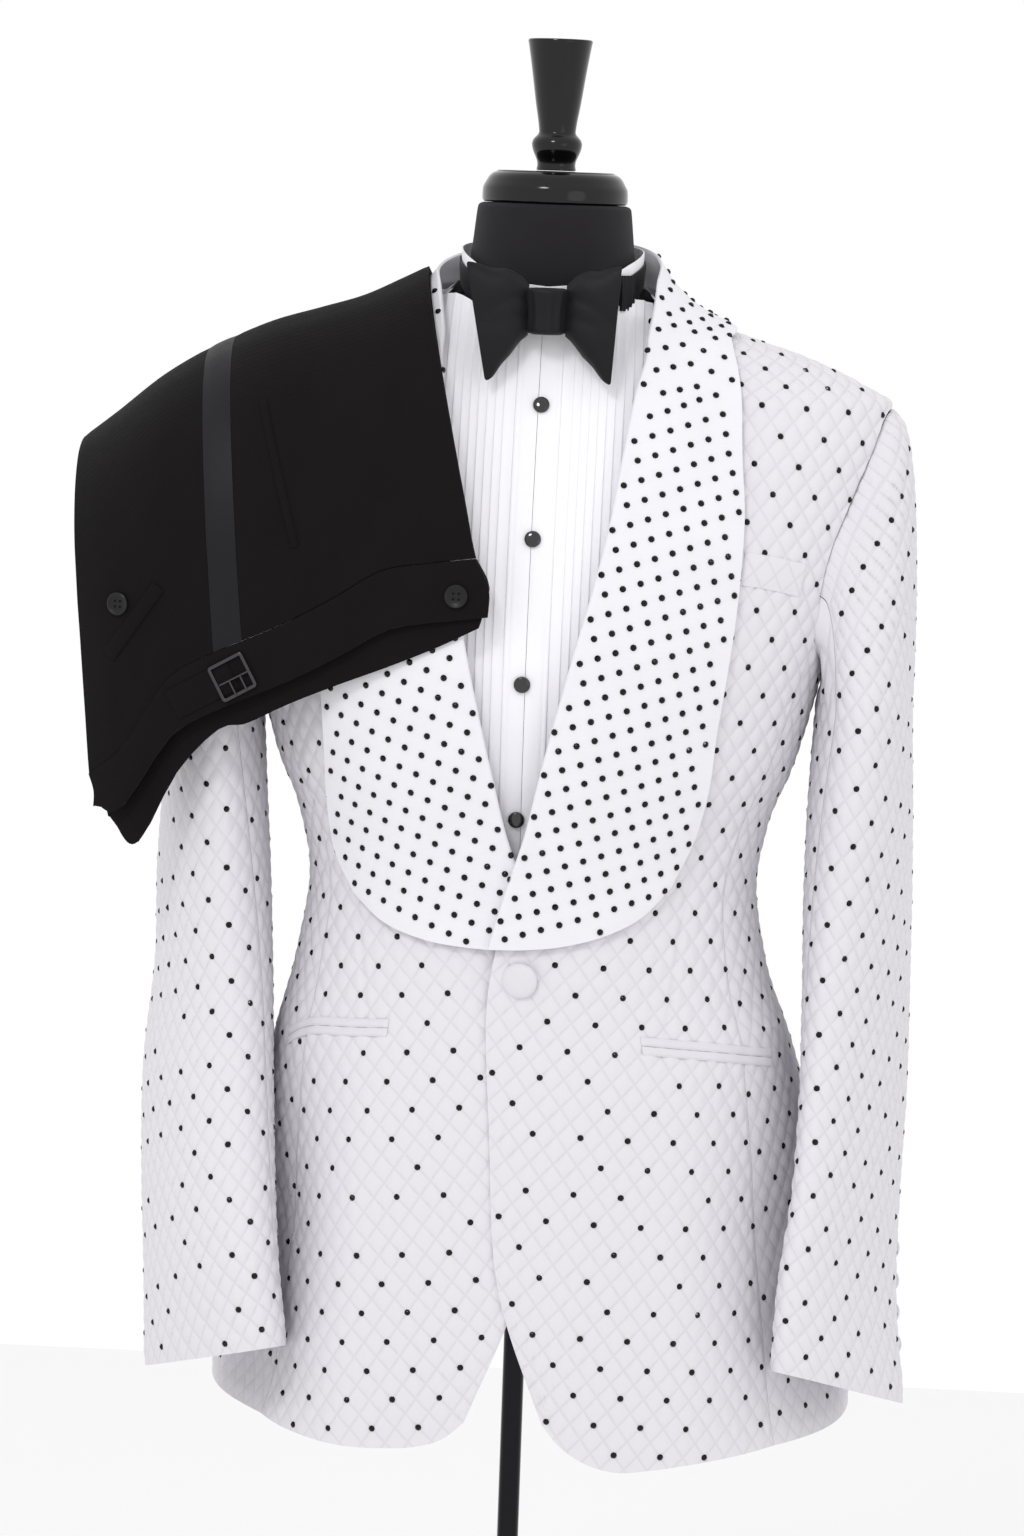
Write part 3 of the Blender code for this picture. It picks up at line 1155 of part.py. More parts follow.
def trouser_trim():
    panels = resting_tree(("trousers_front_left", "trousers_stripe", "trousers_back_left"))
    band = resting_tree(("trousers_waistband_left",))
    both = resting_tree(("trousers_front_left", "trousers_stripe", "trousers_back_left",
                         "trousers_waistband_left"))
    trim_strip("trousers_front_pocket_jet", panels, [(-0.181, 1.392), (-0.154, 1.300)], 2.5 * MM, 8,
               0.9 * MM, WOOL, 0.7 * MM)
    trim_strip("trousers_back_pocket_welt", panels, [(-0.243, 1.270), (-0.276, 1.222)], 4.5 * MM, 4,
               1.0 * MM, WOOL, 0.9 * MM)
    trim_strip("trousers_side_tab", band, [(-0.192, 1.2160), (-0.232, 1.1935)], 10.0 * MM, 4, 1.3 * MM, WOOL)
    buckle()
    button = [(0.0068, 0.0), (0.0075, 0.0010), (0.0070, 0.0022), (0.0045, 0.0018)]
    for name, x, height, tree in (
        ("trousers_waistband_button", -0.0480, 1.2740, band),
        ("trousers_back_pocket_button", -0.2700, 1.2570, panels),
    ):
        laid_button(name, tree, (x, -0.11, height), FACING_BACK, button, 12, HORN)


BUCKLE_PLACE = (-0.1905, 1.2145)
BUCKLE_HALF = np.array((0.0130, 0.0125))
BUCKLE_BAR = 2.0 * MM


def buckle():
    """A flat rectangular frame standing on the side tab."""
    tree = resting_tree(("trousers_side_tab", "trousers_waistband_left"))
    corners = np.array([(-1, -1), (1, -1), (1, 1), (-1, 1)], float)
    points = []
    for half in (BUCKLE_HALF, BUCKLE_HALF - BUCKLE_BAR):
        flat = corners * half @ np.array([(0.87, 0.49), (-0.49, 0.87)])
        points.append(np.stack([BUCKLE_PLACE[0] + flat[:, 0], 0 * flat[:, 0] - 0.11,
                                BUCKLE_PLACE[1] + flat[:, 1]], -1))
    points = np.array(points)
    under, out = laid_on(tree, points, FACING_BACK + 0 * points, 0)
    middle = under.reshape(-1, 3).mean(axis=0)
    normal = np.cross(under[0, 1] - under[0, 0], under[0, 3] - under[0, 0])
    normal *= -np.sign(normal[1]) / np.linalg.norm(normal)
    flat = points - normal * ((points - middle) @ normal)[..., None]
    rise = max(float(((under - middle) @ normal).max()), 0) + SEAM_GAP
    wall("trousers_buckle", flat + normal * (rise + 1.4 * MM), flat + normal * rise, STEEL, ring=True)


dress_form()
shirt()
bow_tie()
jacket()
trousers()
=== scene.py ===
"""Looks of a shawl-lapel tuxedo on a dress form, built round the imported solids. Metres, +Z up.

The jacket faces -Y and +X is the wearer's left. A place on the body is an angle round it (0 at
the wearer's left side, -90 degrees at the centre front) and a height, and each layer of cloth
lies at its own lift above that surface.
"""

import json
import math

import bpy
import numpy as np
from mathutils import Matrix, Vector
from mathutils.bvhtree import BVHTree

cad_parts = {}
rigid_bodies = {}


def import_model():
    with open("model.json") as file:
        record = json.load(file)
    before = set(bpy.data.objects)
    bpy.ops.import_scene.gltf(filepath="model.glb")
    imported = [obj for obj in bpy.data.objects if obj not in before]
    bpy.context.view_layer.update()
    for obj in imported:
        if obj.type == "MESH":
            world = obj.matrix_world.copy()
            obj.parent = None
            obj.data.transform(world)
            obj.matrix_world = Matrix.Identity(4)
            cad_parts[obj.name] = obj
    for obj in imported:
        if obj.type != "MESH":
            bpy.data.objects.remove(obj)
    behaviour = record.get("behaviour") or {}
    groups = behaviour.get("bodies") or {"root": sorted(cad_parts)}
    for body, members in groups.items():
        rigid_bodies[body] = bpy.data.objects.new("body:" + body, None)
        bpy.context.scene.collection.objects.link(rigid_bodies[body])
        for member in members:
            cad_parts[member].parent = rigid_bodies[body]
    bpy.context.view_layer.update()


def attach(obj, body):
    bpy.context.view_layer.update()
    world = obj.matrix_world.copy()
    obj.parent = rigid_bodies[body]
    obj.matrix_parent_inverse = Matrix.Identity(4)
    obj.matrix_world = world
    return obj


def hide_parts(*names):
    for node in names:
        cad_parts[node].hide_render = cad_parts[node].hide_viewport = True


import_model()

MM = 0.001
LEFT, RIGHT = 1, -1  # the wearer's
WORDS = {LEFT: "left", RIGHT: "right"}


# ---------------------------------------------------------------- base of the stand
# A round cast-iron plate that keeps the stand upright, with a socket for the pole. It was cast,
# turned on its rim and painted black.

BASE_RADIUS = 0.170
BASE_SOCKET_TOP = 0.055
BASE_PROFILE = [  # radius, height
    (0.1500, 0.0004), (0.1685, 0.0000), (BASE_RADIUS, 0.0012), (BASE_RADIUS, 0.0070),
    (0.1690, 0.0092), (0.1655, 0.0117), (0.1450, 0.0125), (0.1000, 0.0150), (0.0620, 0.0178),
    (0.0400, 0.0198), (0.0260, 0.0225), (0.0200, 0.0262), (0.0172, 0.0340), (0.0160, 0.0440),
    (0.0160, BASE_SOCKET_TOP - 0.0012), (0.0150, BASE_SOCKET_TOP), (0.0100, BASE_SOCKET_TOP),
]


def linear(code):
    """An sRGB hex colour as linear red, green and blue."""
    parts = [int(code[i:i + 2], 16) / 255 for i in (0, 2, 4)]
    return [*(c / 12.92 if c <= 0.04045 else ((c + 0.055) / 1.055) ** 2.4 for c in parts), 1.0]


def node(tree, kind, inputs, **settings):
    """Adds a node with its settings. Each input is a value or the output it is linked from."""
    made = tree.nodes.new("ShaderNode" + kind)
    for key, value in settings.items():
        setattr(made, key, value)
    for key, value in inputs.items():
        if isinstance(value, bpy.types.NodeSocket):
            tree.links.new(value, made.inputs[key])
        else:
            made.inputs[key].default_value = value
    return made.outputs[0]


def finish(name, base, roughness, **values):
    """A Principled material of one colour; returns it with its node tree and its shader's inputs."""
    made = bpy.data.materials.new(name)
    made.use_nodes = True
    inputs = made.node_tree.nodes["Principled BSDF"].inputs
    inputs["Base Color"].default_value = linear(base)
    inputs["Roughness"].default_value = roughness
    for key, value in values.items():
        inputs[key.replace("_", " ")].default_value = value
    return made, made.node_tree, inputs


def in_space(tree):
    """Places in the piece's own space, in metres."""
    return node(tree, "TexCoord", {}).node.outputs["Object"]


def noise(tree, place, size, detail, **more):
    """Cloudy unevenness with features about `size` metres across."""
    return node(tree, "TexNoise", {"Vector": place, "Scale": 1 / size, "Detail": detail, **more})


def vary_roughness(tree, shader, value, low, high):
    """Lets a value from 0 to 1 move the roughness between two bounds."""
    spread = node(tree, "MapRange", {"Value": value, "To Min": low, "To Max": high})
    tree.links.new(spread, shader["Roughness"])


def vary_colour(tree, shader, value, low, high):
    """Blends the base colour from one sRGB colour to another; returns the node that does it."""
    made = node(tree, "ValToRGB", {0: value}).node
    for element, code in zip(made.color_ramp.elements, (low, high)):
        element.color = linear(code)
    tree.links.new(made.outputs[0], shader["Base Color"])
    return made


def emboss(tree, shader, height, strength, depth, **more):
    """Bump of that depth in metres on the shader's normal."""
    made = node(tree, "Bump", {"Height": height, "Strength": strength, "Distance": depth, **more})
    tree.links.new(made, shader["Normal"])


def finer(rows, count, axis=0, ring=False):
    """More rows on a smooth cubic through the rows of a grid, count steps for each one."""
    rows = np.moveaxis(np.asarray(rows, float), axis, 0)
    if ring:
        ends = np.concatenate([rows[-1:], rows, rows[:2]])
    else:
        ends = np.concatenate([2 * rows[:1] - rows[1:2], rows, 2 * rows[-1:] - rows[-2:-1]])
    a, b, c, d = (ends[i:len(ends) - 3 + i, None] for i in range(4))
    t = (np.arange(count) / count).reshape(1, -1, *[1] * (rows.ndim - 1))
    fine = 0.5 * (2 * b + (c - a) * t + (2 * a - 5 * b + 4 * c - d) * t**2
                  + (3 * b - a - 3 * c + d) * t**3)
    fine = fine.reshape(-1, *rows.shape[1:])
    if not ring:
        fine = np.concatenate([fine, rows[-1:]])
    return np.moveaxis(fine, 0, axis)


def skin(name, points, faces, material, uv=None, sharp=35):
    """A mesh object from points and faces, with its cloth coordinates in metres if it has them."""
    points = np.asarray(points, float).reshape(-1, 3)
    mesh = bpy.data.meshes.new(name)
    mesh.from_pydata(points.tolist(), [], faces)
    mesh.calc_loop_triangles()
    corner = np.zeros(3 * len(mesh.loop_triangles), np.int32)
    mesh.loop_triangles.foreach_get("vertices", corner)
    a, b, c = points[corner.reshape(-1, 3).T]
    if np.einsum("ij,ij", a, np.cross(b, c)) < 0:  # inside out
        mesh.flip_normals()
    mesh.materials.append(material)
    if uv is not None:
        corner = np.zeros(len(mesh.loops), np.int32)
        mesh.loops.foreach_get("vertex_index", corner)
        uv = np.asarray(uv, float).reshape(-1, 2)[corner]
        mesh.uv_layers.new(name="cloth").data.foreach_set("uv", uv.ravel())
    mesh.shade_smooth()
    mesh.set_sharp_from_angle(angle=math.radians(sharp))
    made = bpy.data.objects.new(f"{name}_look", mesh)
    bpy.context.scene.collection.objects.link(made)
    return made


def quads(index):
    """Faces between the rows of a grid of point numbers."""
    return np.stack([index[:-1, :-1], index[:-1, 1:], index[1:, 1:], index[1:, :-1]], -1).reshape(-1, 4)


def ring_index(rows, columns):
    """The numbers of the points on rings, with each ring's first point again at its end."""
    index = np.arange(rows * columns).reshape(rows, columns)
    return np.concatenate([index, index[:, :1]], axis=1)


def closed_rings(name, rings, material, sharp=35):
    """A solid through rings of points, with a fan at each end."""
    rings = np.asarray(rings, float)
    rows, columns = rings.shape[:2]
    index = ring_index(rows, columns)
    low, high = rows * columns, rows * columns + 1
    faces = quads(index).tolist()
    faces += [[low, b, a] for a, b in zip(index[0].tolist(), index[0, 1:].tolist())]
    faces += [[high, a, b] for a, b in zip(index[-1].tolist(), index[-1, 1:].tolist())]
    points = np.concatenate([rings.reshape(-1, 3), [rings[0].mean(axis=0), rings[-1].mean(axis=0)]])
    return skin(name, points, faces, material, sharp=sharp)


def turned(name, profile, sides, material, sharp=35):
    """A piece turned about its own Z axis from (radius, height) rows."""
    angle = np.arange(sides) * 2 * math.pi / sides
    circle = np.stack([np.cos(angle), np.sin(angle), 0 * angle], -1)
    return closed_rings(name, [r * circle + (0, 0, h) for r, h in profile], material, sharp=sharp)


def settle(piece, slot, *nodes):
    """The piece rides on the one body and stands for CAD nodes, which it hides. Its slot is not used."""
    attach(piece, "root")
    if nodes:
        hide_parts(*nodes)
    return piece


# Painted cast iron: a half-matt black coat over a slightly lumpy casting, so soft broad highlights.
iron, tree, shader = finish("painted_cast_iron", "121214", 0.42, Specular_IOR_Level=0.35)
lumps = noise(tree, in_space(tree), 0.004, 3.0)
vary_roughness(tree, shader, lumps, 0.36, 0.52)
emboss(tree, shader, lumps, 0.25, 0.3 * MM)
settle(turned("base", BASE_PROFILE, 96, iron), "black_iron", "form_base")


# ---------------------------------------------------------------- pole
# A steel tube that carries the form, chromed and dark where it mirrors the room. It stands in
# the base's socket and ends at the form's underside.

POLE_RADIUS = 7.3 * MM
FORM_BOTTOM = 0.850
# Chrome plate on ground steel: a clear dark gleam with faint rings from polishing. It is set dark,
# as a real one is that mirrors a dim room: among white walls a bright one would be lost.
chrome, tree, shader = finish("chromed_steel_tube", "242427", 0.18, Metallic=1.0)
rings = node(tree, "TexWave", {"Vector": in_space(tree), "Scale": 1 / 0.012, "Distortion": 2.0,
                               "Detail": 2.0}, bands_direction="Z")
vary_roughness(tree, shader, rings, 0.14, 0.20)
pole_profile = [(POLE_RADIUS - 0.0008, BASE_SOCKET_TOP + 0.0003), (POLE_RADIUS, BASE_SOCKET_TOP + 0.0011)]
pole_profile += [(POLE_RADIUS, h) for h in np.linspace(0.10, FORM_BOTTOM - 0.02, 8)]
pole_profile += [(POLE_RADIUS, FORM_BOTTOM - 0.0011), (POLE_RADIUS - 0.0008, FORM_BOTTOM - 0.0003)]
settle(turned("pole", pole_profile, 48, chrome), "chromed_steel", "form_pole")


# ---------------------------------------------------------------- torso of the dress form
# A moulded limbless torso covered in black cotton jersey, pulled tight and seamed down the sides
# and the centre back. It is smooth and closed, and stays clear of the clothes.

NECK_TOP = 1.5235
GIRTH_RADIUS = 0.2  # turns an angle round the body into a length of about the right size

# Inner face of the jacket, as level sections. The rows above 1.398 close in over the shoulders.
BODY = np.array([
    # height, half_width, front, back, roundness, shift
    (0.690, 0.2240, 0.150, 0.150, 2.30, 0.0105),
    (0.800, 0.2110, 0.143, 0.150, 2.30, 0.0085),
    (0.900, 0.1940, 0.135, 0.146, 2.30, 0.0065),
    (0.965, 0.1735, 0.128, 0.136, 2.30, 0.0055),
    (1.020, 0.1560, 0.122, 0.123, 2.25, 0.0025),
    (1.075, 0.1480, 0.118, 0.113, 2.20, 0.0015),
    (1.120, 0.1560, 0.121, 0.112, 2.20, 0.0005),
    (1.155, 0.1700, 0.126, 0.117, 2.20, 0.0),
    (1.222, 0.1880, 0.129, 0.125, 2.20, 0.0),
    (1.300, 0.2080, 0.116, 0.124, 2.20, 0.0),
    (1.350, 0.2190, 0.099, 0.115, 2.15, 0.0),
    (1.385, 0.2265, 0.084, 0.105, 2.05, 0.0),
    (1.398, 0.2265, 0.078, 0.100, 2.00, 0.0),
    (1.409, 0.2090, 0.073, 0.095, 2.00, 0.0),
    (1.424, 0.1760, 0.067, 0.087, 2.00, 0.0),
    (1.4345, 0.1440, 0.063, 0.081, 2.00, 0.0),
    (1.4445, 0.1120, 0.058, 0.075, 2.00, 0.0),
    (1.4600, 0.0780, 0.054, 0.066, 2.00, 0.0),
    (1.4780, 0.0630, 0.052, 0.058, 2.00, 0.0),
    (1.5050, 0.0575, 0.0525, 0.0555, 2.00, 0.0),
    (1.5300, 0.0555, 0.0540, 0.0540, 2.00, 0.0),
])

# How far the shirt hangs inside the jacket, at the sides and over the chest and back, in mm.
EASE = np.array([
    # height, side, face
    (0.690, 33.0, 20.0),
    (0.900, 28.0, 16.0),
    (1.000, 12.0, 10.0),
    (1.075, 5.0, 6.5),
    (1.222, 5.0, 7.0),
    (1.300, 2.0, 6.0),
    (1.385, 0.0, 4.6),
    (1.440, 0.0, 3.2),
    (1.475, 0.0, 0.6),
    (1.530, 0.0, 0.0),
])
SHOULDER_GAP = 3.3 * MM  # between the jacket and the shirt below it
SHIRT_WALL = 1.0 * MM
FORM_GAP = 4.0 * MM  # between the shirt and the form
FORM_SHOULDER = [  # height, more room in mm over the shoulders
    (1.300, 0.0), (1.370, 5.6), (1.412, 5.6), (1.450, 0.0),
]
FORM_COLUMNS = 88
FORM_ENDS = [  # height, share of the full width: the underside is rounded
    (FORM_BOTTOM, 0.88), (FORM_BOTTOM + 0.0012, 0.905), (FORM_BOTTOM + 0.0035, 0.938),
    (FORM_BOTTOM + 0.008, 0.970), (FORM_BOTTOM + 0.014, 0.990), (FORM_BOTTOM + 0.022, 1.0),
]
FORM_NECK = [  # height, half width, half depth
    (1.4560, 0.0610, 0.0530), (1.4640, 0.0575, 0.0530), (1.4960, 0.0535, 0.0525),
    (NECK_TOP - 0.0060, 0.0512, 0.0502), (NECK_TOP - 0.0015, 0.0500, 0.0490), (NECK_TOP, 0.0470, 0.0460),
]


def smooth(rows, at):
    """Monotone cubic through (x, y) rows, read at `at`."""
    xs, ys = np.array(rows, float).T
    at = np.clip(np.asarray(at, float), xs[0], xs[-1])
    step = np.diff(xs)
    slope = np.diff(ys) / step
    tangent = np.concatenate([slope[:1], np.zeros(len(ys) - 2), slope[-1:]])
    for i in range(1, len(ys) - 1):
        if slope[i - 1] * slope[i] > 0:
            w1 = 2 * step[i] + step[i - 1]
            w2 = step[i] + 2 * step[i - 1]
            tangent[i] = (w1 + w2) / (w1 / slope[i - 1] + w2 / slope[i])
    i = np.clip(np.searchsorted(xs, at) - 1, 0, len(step) - 1)
    t = (at - xs[i]) / step[i]
    return (ys[i] * (1 + 2 * t) * (1 - t) ** 2 + step[i] * tangent[i] * t * (1 - t) ** 2
            + ys[i + 1] * t * t * (3 - 2 * t) + step[i] * tangent[i + 1] * t * t * (t - 1))


def ease_in_out(t):
    t = np.clip(t, 0, 1)
    return t * t * (3 - 2 * t)


def on_body(angle, height):
    half, face, back, power, shift = (smooth(BODY[:, (0, k)], height) for k in range(1, 6))
    c, s = np.cos(angle), np.sin(angle)
    r = (np.abs(c) ** power + np.abs(s) ** power) ** (-1 / power)
    depth = np.where(s < 0, face, back)
    return np.stack([shift + half * r * c, depth * r * s, height + 0 * angle], -1)


def facing(angle, height):
    """The way out from the body surface."""
    turn, rise = 0.004, 0.6 * MM
    across = on_body(angle + turn, height) - on_body(angle - turn, height)
    up = on_body(angle, height + rise) - on_body(angle, height - rise)
    normal = np.cross(across, up)
    return normal / np.linalg.norm(normal, axis=-1, keepdims=True)


def surface(angle, height, lift):
    """A point `lift` outside the body surface, measured along its normal."""
    angle, height, lift = np.broadcast_arrays(*(np.asarray(v, float) for v in (angle, height, lift)))
    return on_body(angle, height) + lift[..., None] * facing(angle, height)


def shirt_lift(angle, height):
    """Lift of the shirt's outer face below the jacket."""
    over = np.sin(angle) ** 2
    side, face = smooth(EASE[:, (0, 1)], height), smooth(EASE[:, (0, 2)], height)
    return -SHOULDER_GAP - ((1 - over) * side + over * face) * MM


def form_ring(height):
    even = np.arange(FORM_COLUMNS) * 2 * math.pi / FORM_COLUMNS
    angle = even - 0.25 * np.sin(2 * even)  # closer together over the shoulders
    lift = (1.5 * (shirt_lift(angle, height) + SHOULDER_GAP) - SHOULDER_GAP - SHIRT_WALL - FORM_GAP
            - smooth(FORM_SHOULDER, height) * MM)
    return surface(angle, np.full(FORM_COLUMNS, height), lift)


rings = []
for height, share in FORM_ENDS:
    ring = form_ring(height) * (share, share, 1)
    ring[:, 2] = height
    rings.append(ring)
rings += [form_ring(height) for height in np.linspace(FORM_BOTTOM + 0.030, 1.441, 90)]
angle = np.arctan2(rings[-1][:, 1], rings[-1][:, 0])
neck = [np.stack([half * np.cos(angle), deep * np.sin(angle), height + 0 * angle], -1)
        for height, half, deep in FORM_NECK]
rings = np.concatenate([rings[:-1], finer([rings[-2], rings[-1], *neck], 6)[6:]])
seam = np.minimum(np.abs(np.sin(np.linspace(0, 4 * math.pi, FORM_COLUMNS, endpoint=False)) / 0.10), 1)
rings[..., :2] *= (1 - 0.004 * (1 - seam))[None, :, None]

# Cotton jersey: fine upright ribs of knit loops, quite dull, with a faint pale sheen at the edges.
jersey, tree, shader = finish("cotton_jersey", "1b191d", 0.90, Specular_IOR_Level=0.25, Sheen_Weight=0.06,
                              Sheen_Roughness=0.5)
place = in_space(tree)
x, y, z = (node(tree, "SeparateXYZ", {0: place}).node.outputs[i] for i in range(3))
turn = node(tree, "Math", {0: y, 1: x}, operation="ARCTAN2")
KNIT_RIB = 1.1 * MM  # drawn twice as coarse as the real knit, so that it shows
ribs = node(tree, "Math", {0: node(tree, "Math", {0: turn, 1: 2 * math.pi * 0.053 / KNIT_RIB},
                                  operation="MULTIPLY")}, operation="SINE")
loops = node(tree, "Math", {0: node(tree, "Math", {0: z, 1: 2 * math.pi / (0.8 * KNIT_RIB)},
                                   operation="MULTIPLY")}, operation="SINE")
knit = node(tree, "Math", {0: ribs, 1: loops}, operation="MULTIPLY")
vary_roughness(tree, shader, noise(tree, place, 0.03, 4.0), 0.80, 0.95)
emboss(tree, shader, knit, 0.35, 0.2 * MM)
settle(closed_rings("torso", rings, jersey), "black_jersey", "form_torso")


# ---------------------------------------------------------------- neck cap and finial
# Two turned wooden pieces under many coats of black lacquer: a flat cap that closes the neck, and
# a flared handle above a ball, screwed down through it.

CAP_PROFILE = [  # radius, height above the neck
    (0.0300, 0.0003), (0.0440, 0.0003), (0.0472, 0.0008), (0.0481, 0.0022), (0.0482, 0.0050),
    (0.0481, 0.0082), (0.0476, 0.0108), (0.0458, 0.0142), (0.0440, 0.0172), (0.0418, 0.0193),
    (0.0392, 0.0205), (0.0382, 0.0212), (0.0330, 0.0214), (0.0200, 0.0215),
]
FINIAL_PROFILE = [
    (0.0080, 0.0218), (0.0124, 0.0219), (0.0130, 0.0226), (0.0128, 0.0240), (0.0126, 0.0256),
    (0.0131, 0.0285), (0.0150, 0.0328), (0.0161, 0.0358), (0.0166, 0.0386), (0.0164, 0.0404),
    (0.0157, 0.0421), (0.0145, 0.0436), (0.0131, 0.0450), (0.0123, 0.0464), (0.0122, 0.0480),
    (0.0131, 0.0550), (0.0150, 0.0660), (0.0178, 0.0850), (0.0207, 0.1030), (0.0212, 0.1052),
    (0.0212, 0.1064), (0.0206, 0.1073), (0.0180, 0.1075), (0.0100, 0.1073),
]
# Polished black lacquer on turned wood: near-mirror gloss over a faint orange-peel of brush coats.
lacquer, tree, shader = finish("black_lacquer_on_wood", "050506", 0.16, Specular_IOR_Level=0.3,
                               Coat_Weight=0.15, Coat_Roughness=0.08)
peel = noise(tree, in_space(tree), 0.005, 2.0)
vary_roughness(tree, shader, peel, 0.08, 0.16)
emboss(tree, shader, peel, 0.12, 0.2 * MM)
for name, profile, sides in (("neck_cap", CAP_PROFILE, 96), ("finial", FINIAL_PROFILE, 72)):
    made = turned(name, finer([(r, NECK_TOP + h) for r, h in profile], 3), sides, lacquer, 50)
    settle(made, "black_lacquer", f"form_{name}")


# ---------------------------------------------------------------- shirt fronts and back
# A dress shirt of white cotton poplin, cut in two fronts and a back, with felled seams.
# It hangs from the shoulders of the form, and no sleeves show in the jacket's.

PROFILE = np.linspace(0.65, 1.53, 441)
ALONG = np.concatenate([[0], np.cumsum(np.hypot(np.diff(PROFILE), 0.7 * np.diff(
    smooth(BODY[:, (0, 1)], PROFILE))))])  # length up the body, counting the slope of the shoulders
SEAM_GAP = 0.3 * MM
SHIRT_HEM = 0.800
SHIRT_SIDE = 4  # degrees
SHIRT_RISE = [(SHIRT_SIDE, SHIRT_HEM), (SHIRT_SIDE, 1.00), (SHIRT_SIDE, 1.12), (SHIRT_SIDE, 1.215)]
SHIRT_ARM = [(SHIRT_SIDE, 1.215), (-14, 1.245), (-22, 1.290), (-18, 1.345), (-8, 1.380), (2, 1.3900)]
SHIRT_ARM_BACK = [(SHIRT_SIDE, 1.215), (20, 1.245), (27, 1.290), (22, 1.345), (10, 1.382), (2, 1.3900)]
SHIRT_NECK_BACK = [(90, 1.4690), (55, 1.4700), (25, 1.4715), (2, 1.4720)]
SIDE_STATIONS = (0, 0.30, 0.52, 0.66, 0.80, 1)
ARMHOLE_STATIONS = (0.22, 0.42, 0.58, 0.72, 0.83, 0.92, 1)
PLACKET_HALF = 15 * MM
PLACKET_X = -3 * MM
TUCK_PITCH = 5.6 * MM
TUCKS = 11  # on each side of the placket
BIB_HALF = PLACKET_HALF + 2.5 * MM + TUCKS * TUCK_PITCH


def unrolled(points):
    """(angle, height) rows as lengths round and up the body."""
    points = np.asarray(points, float)
    return np.stack([GIRTH_RADIUS * points[..., 0], np.interp(points[..., 1], PROFILE, ALONG)], -1)


def rolled(lengths):
    return np.stack([lengths[..., 0] / GIRTH_RADIUS, np.interp(lengths[..., 1], ALONG, PROFILE)], -1)


def fractions(line):
    """Share of its length at which each point of a line on the body lies."""
    steps = np.linalg.norm(np.diff(unrolled(line), axis=0), axis=1)
    along = np.concatenate([[0], np.cumsum(steps)])
    return along / along[-1]


def through(points, stations):
    """A smooth line on the body through the points, read at shares of its length."""
    fine = rolled(finer(unrolled(points), 12))
    along = fractions(fine)
    return np.stack([np.interp(stations, along, axis) for axis in fine.T], -1)


def patch(bottom, top, left, right):
    """A Coons patch on the body: rows run from left to right, the first row is the bottom."""
    u = 0.5 * (fractions(bottom) + fractions(top))[None, :, None]
    v = 0.5 * (fractions(left) + fractions(right))[:, None, None]
    bottom, top, left, right = (unrolled(line) for line in (bottom, top, left, right))
    across = (1 - v) * bottom[None] + v * top[None]
    along = (1 - u) * left[:, None] + u * right[:, None]
    corners = ((1 - u) * (1 - v) * bottom[0] + u * (1 - v) * bottom[-1]
               + (1 - u) * v * top[0] + u * v * top[-1])
    return rolled(across + along - corners)


def front(points, side=LEFT):
    """(x, height) rows on the front of the body turned into (angle, height) rows."""
    x, height = np.array(points, float).T
    half, power, shift = (smooth(BODY[:, (0, k)], height) for k in (1, 4, 5))
    c = np.clip((x - shift) / half, -1, 1)
    s = -((1 - np.abs(c) ** power) ** (1 / power))
    angle = np.arctan2(s, c)
    return np.stack([angle + (2 * math.pi if side == RIGHT else 0), height], -1)


def around(rows, side=LEFT):
    """(degrees, height) rows for the wearer's left, turned into radians and put on either side."""
    rows = np.array(rows, float)
    angle = np.radians(rows[:, 0])
    return np.stack([angle if side == LEFT else math.pi - angle, rows[:, 1]], -1)


def normals(grid, ring=False):
    """Unit normals of a grid of points, rows by columns."""
    if ring:
        wide = np.concatenate([grid[:, -1:], grid, grid[:, :1]], axis=1)
        across = wide[:, 2:] - wide[:, :-2]
    else:
        across = np.gradient(grid, axis=1)
    normal = np.cross(across, np.gradient(grid, axis=0))
    return normal / np.maximum(np.linalg.norm(normal, axis=-1, keepdims=True), 1e-12)


def inset(grid, bottom=0.0, top=0.0, left=0.0, right=0.0):
    """Draws the edges of a grid in by the given distances."""
    grid = grid.copy()
    for share, edge, inner in ((bottom, 0, 1), (top, -1, -2)):
        step = grid[inner] - grid[edge]
        grid[edge] += share * step / np.linalg.norm(step, axis=-1, keepdims=True)
    for share, edge, inner in ((left, 0, 1), (right, -1, -2)):
        step = grid[:, inner] - grid[:, edge]
        grid[:, edge] += share * step / np.linalg.norm(step, axis=-1, keepdims=True)
    return grid


TURNS = np.radians(np.linspace(-140, 320, 921))
LEVELS = np.linspace(0.69, 1.53, 169)
level_lines = on_body(TURNS[None], LEVELS[:, None])
GIRTH = np.concatenate([np.zeros((len(LEVELS), 1)), np.cumsum(
    np.linalg.norm(np.diff(level_lines, axis=1), axis=-1), axis=1)], axis=1)


def girth(angle, height):
    """Length of cloth round the body at a height, from a line behind the right front edge."""
    i = np.clip((height - LEVELS[0]) / (LEVELS[1] - LEVELS[0]), 0, len(LEVELS) - 1.001)
    j = np.clip((angle - TURNS[0]) / (TURNS[1] - TURNS[0]), 0, len(TURNS) - 1.001)
    a, b = i.astype(int), j.astype(int)
    s, t = i - a, j - b
    return ((1 - s) * (1 - t) * GIRTH[a, b] + (1 - s) * t * GIRTH[a, b + 1]
            + s * (1 - t) * GIRTH[a + 1, b] + s * t * GIRTH[a + 1, b + 1])


def cloth_place(angle, height, grain):
    """Where a place on the body lies on its flat cloth: across from the grain line, and up."""
    across = girth(angle, height) - girth(grain + 0 * angle, height)
    return np.stack([across, np.interp(height, PROFILE, ALONG)], -1)


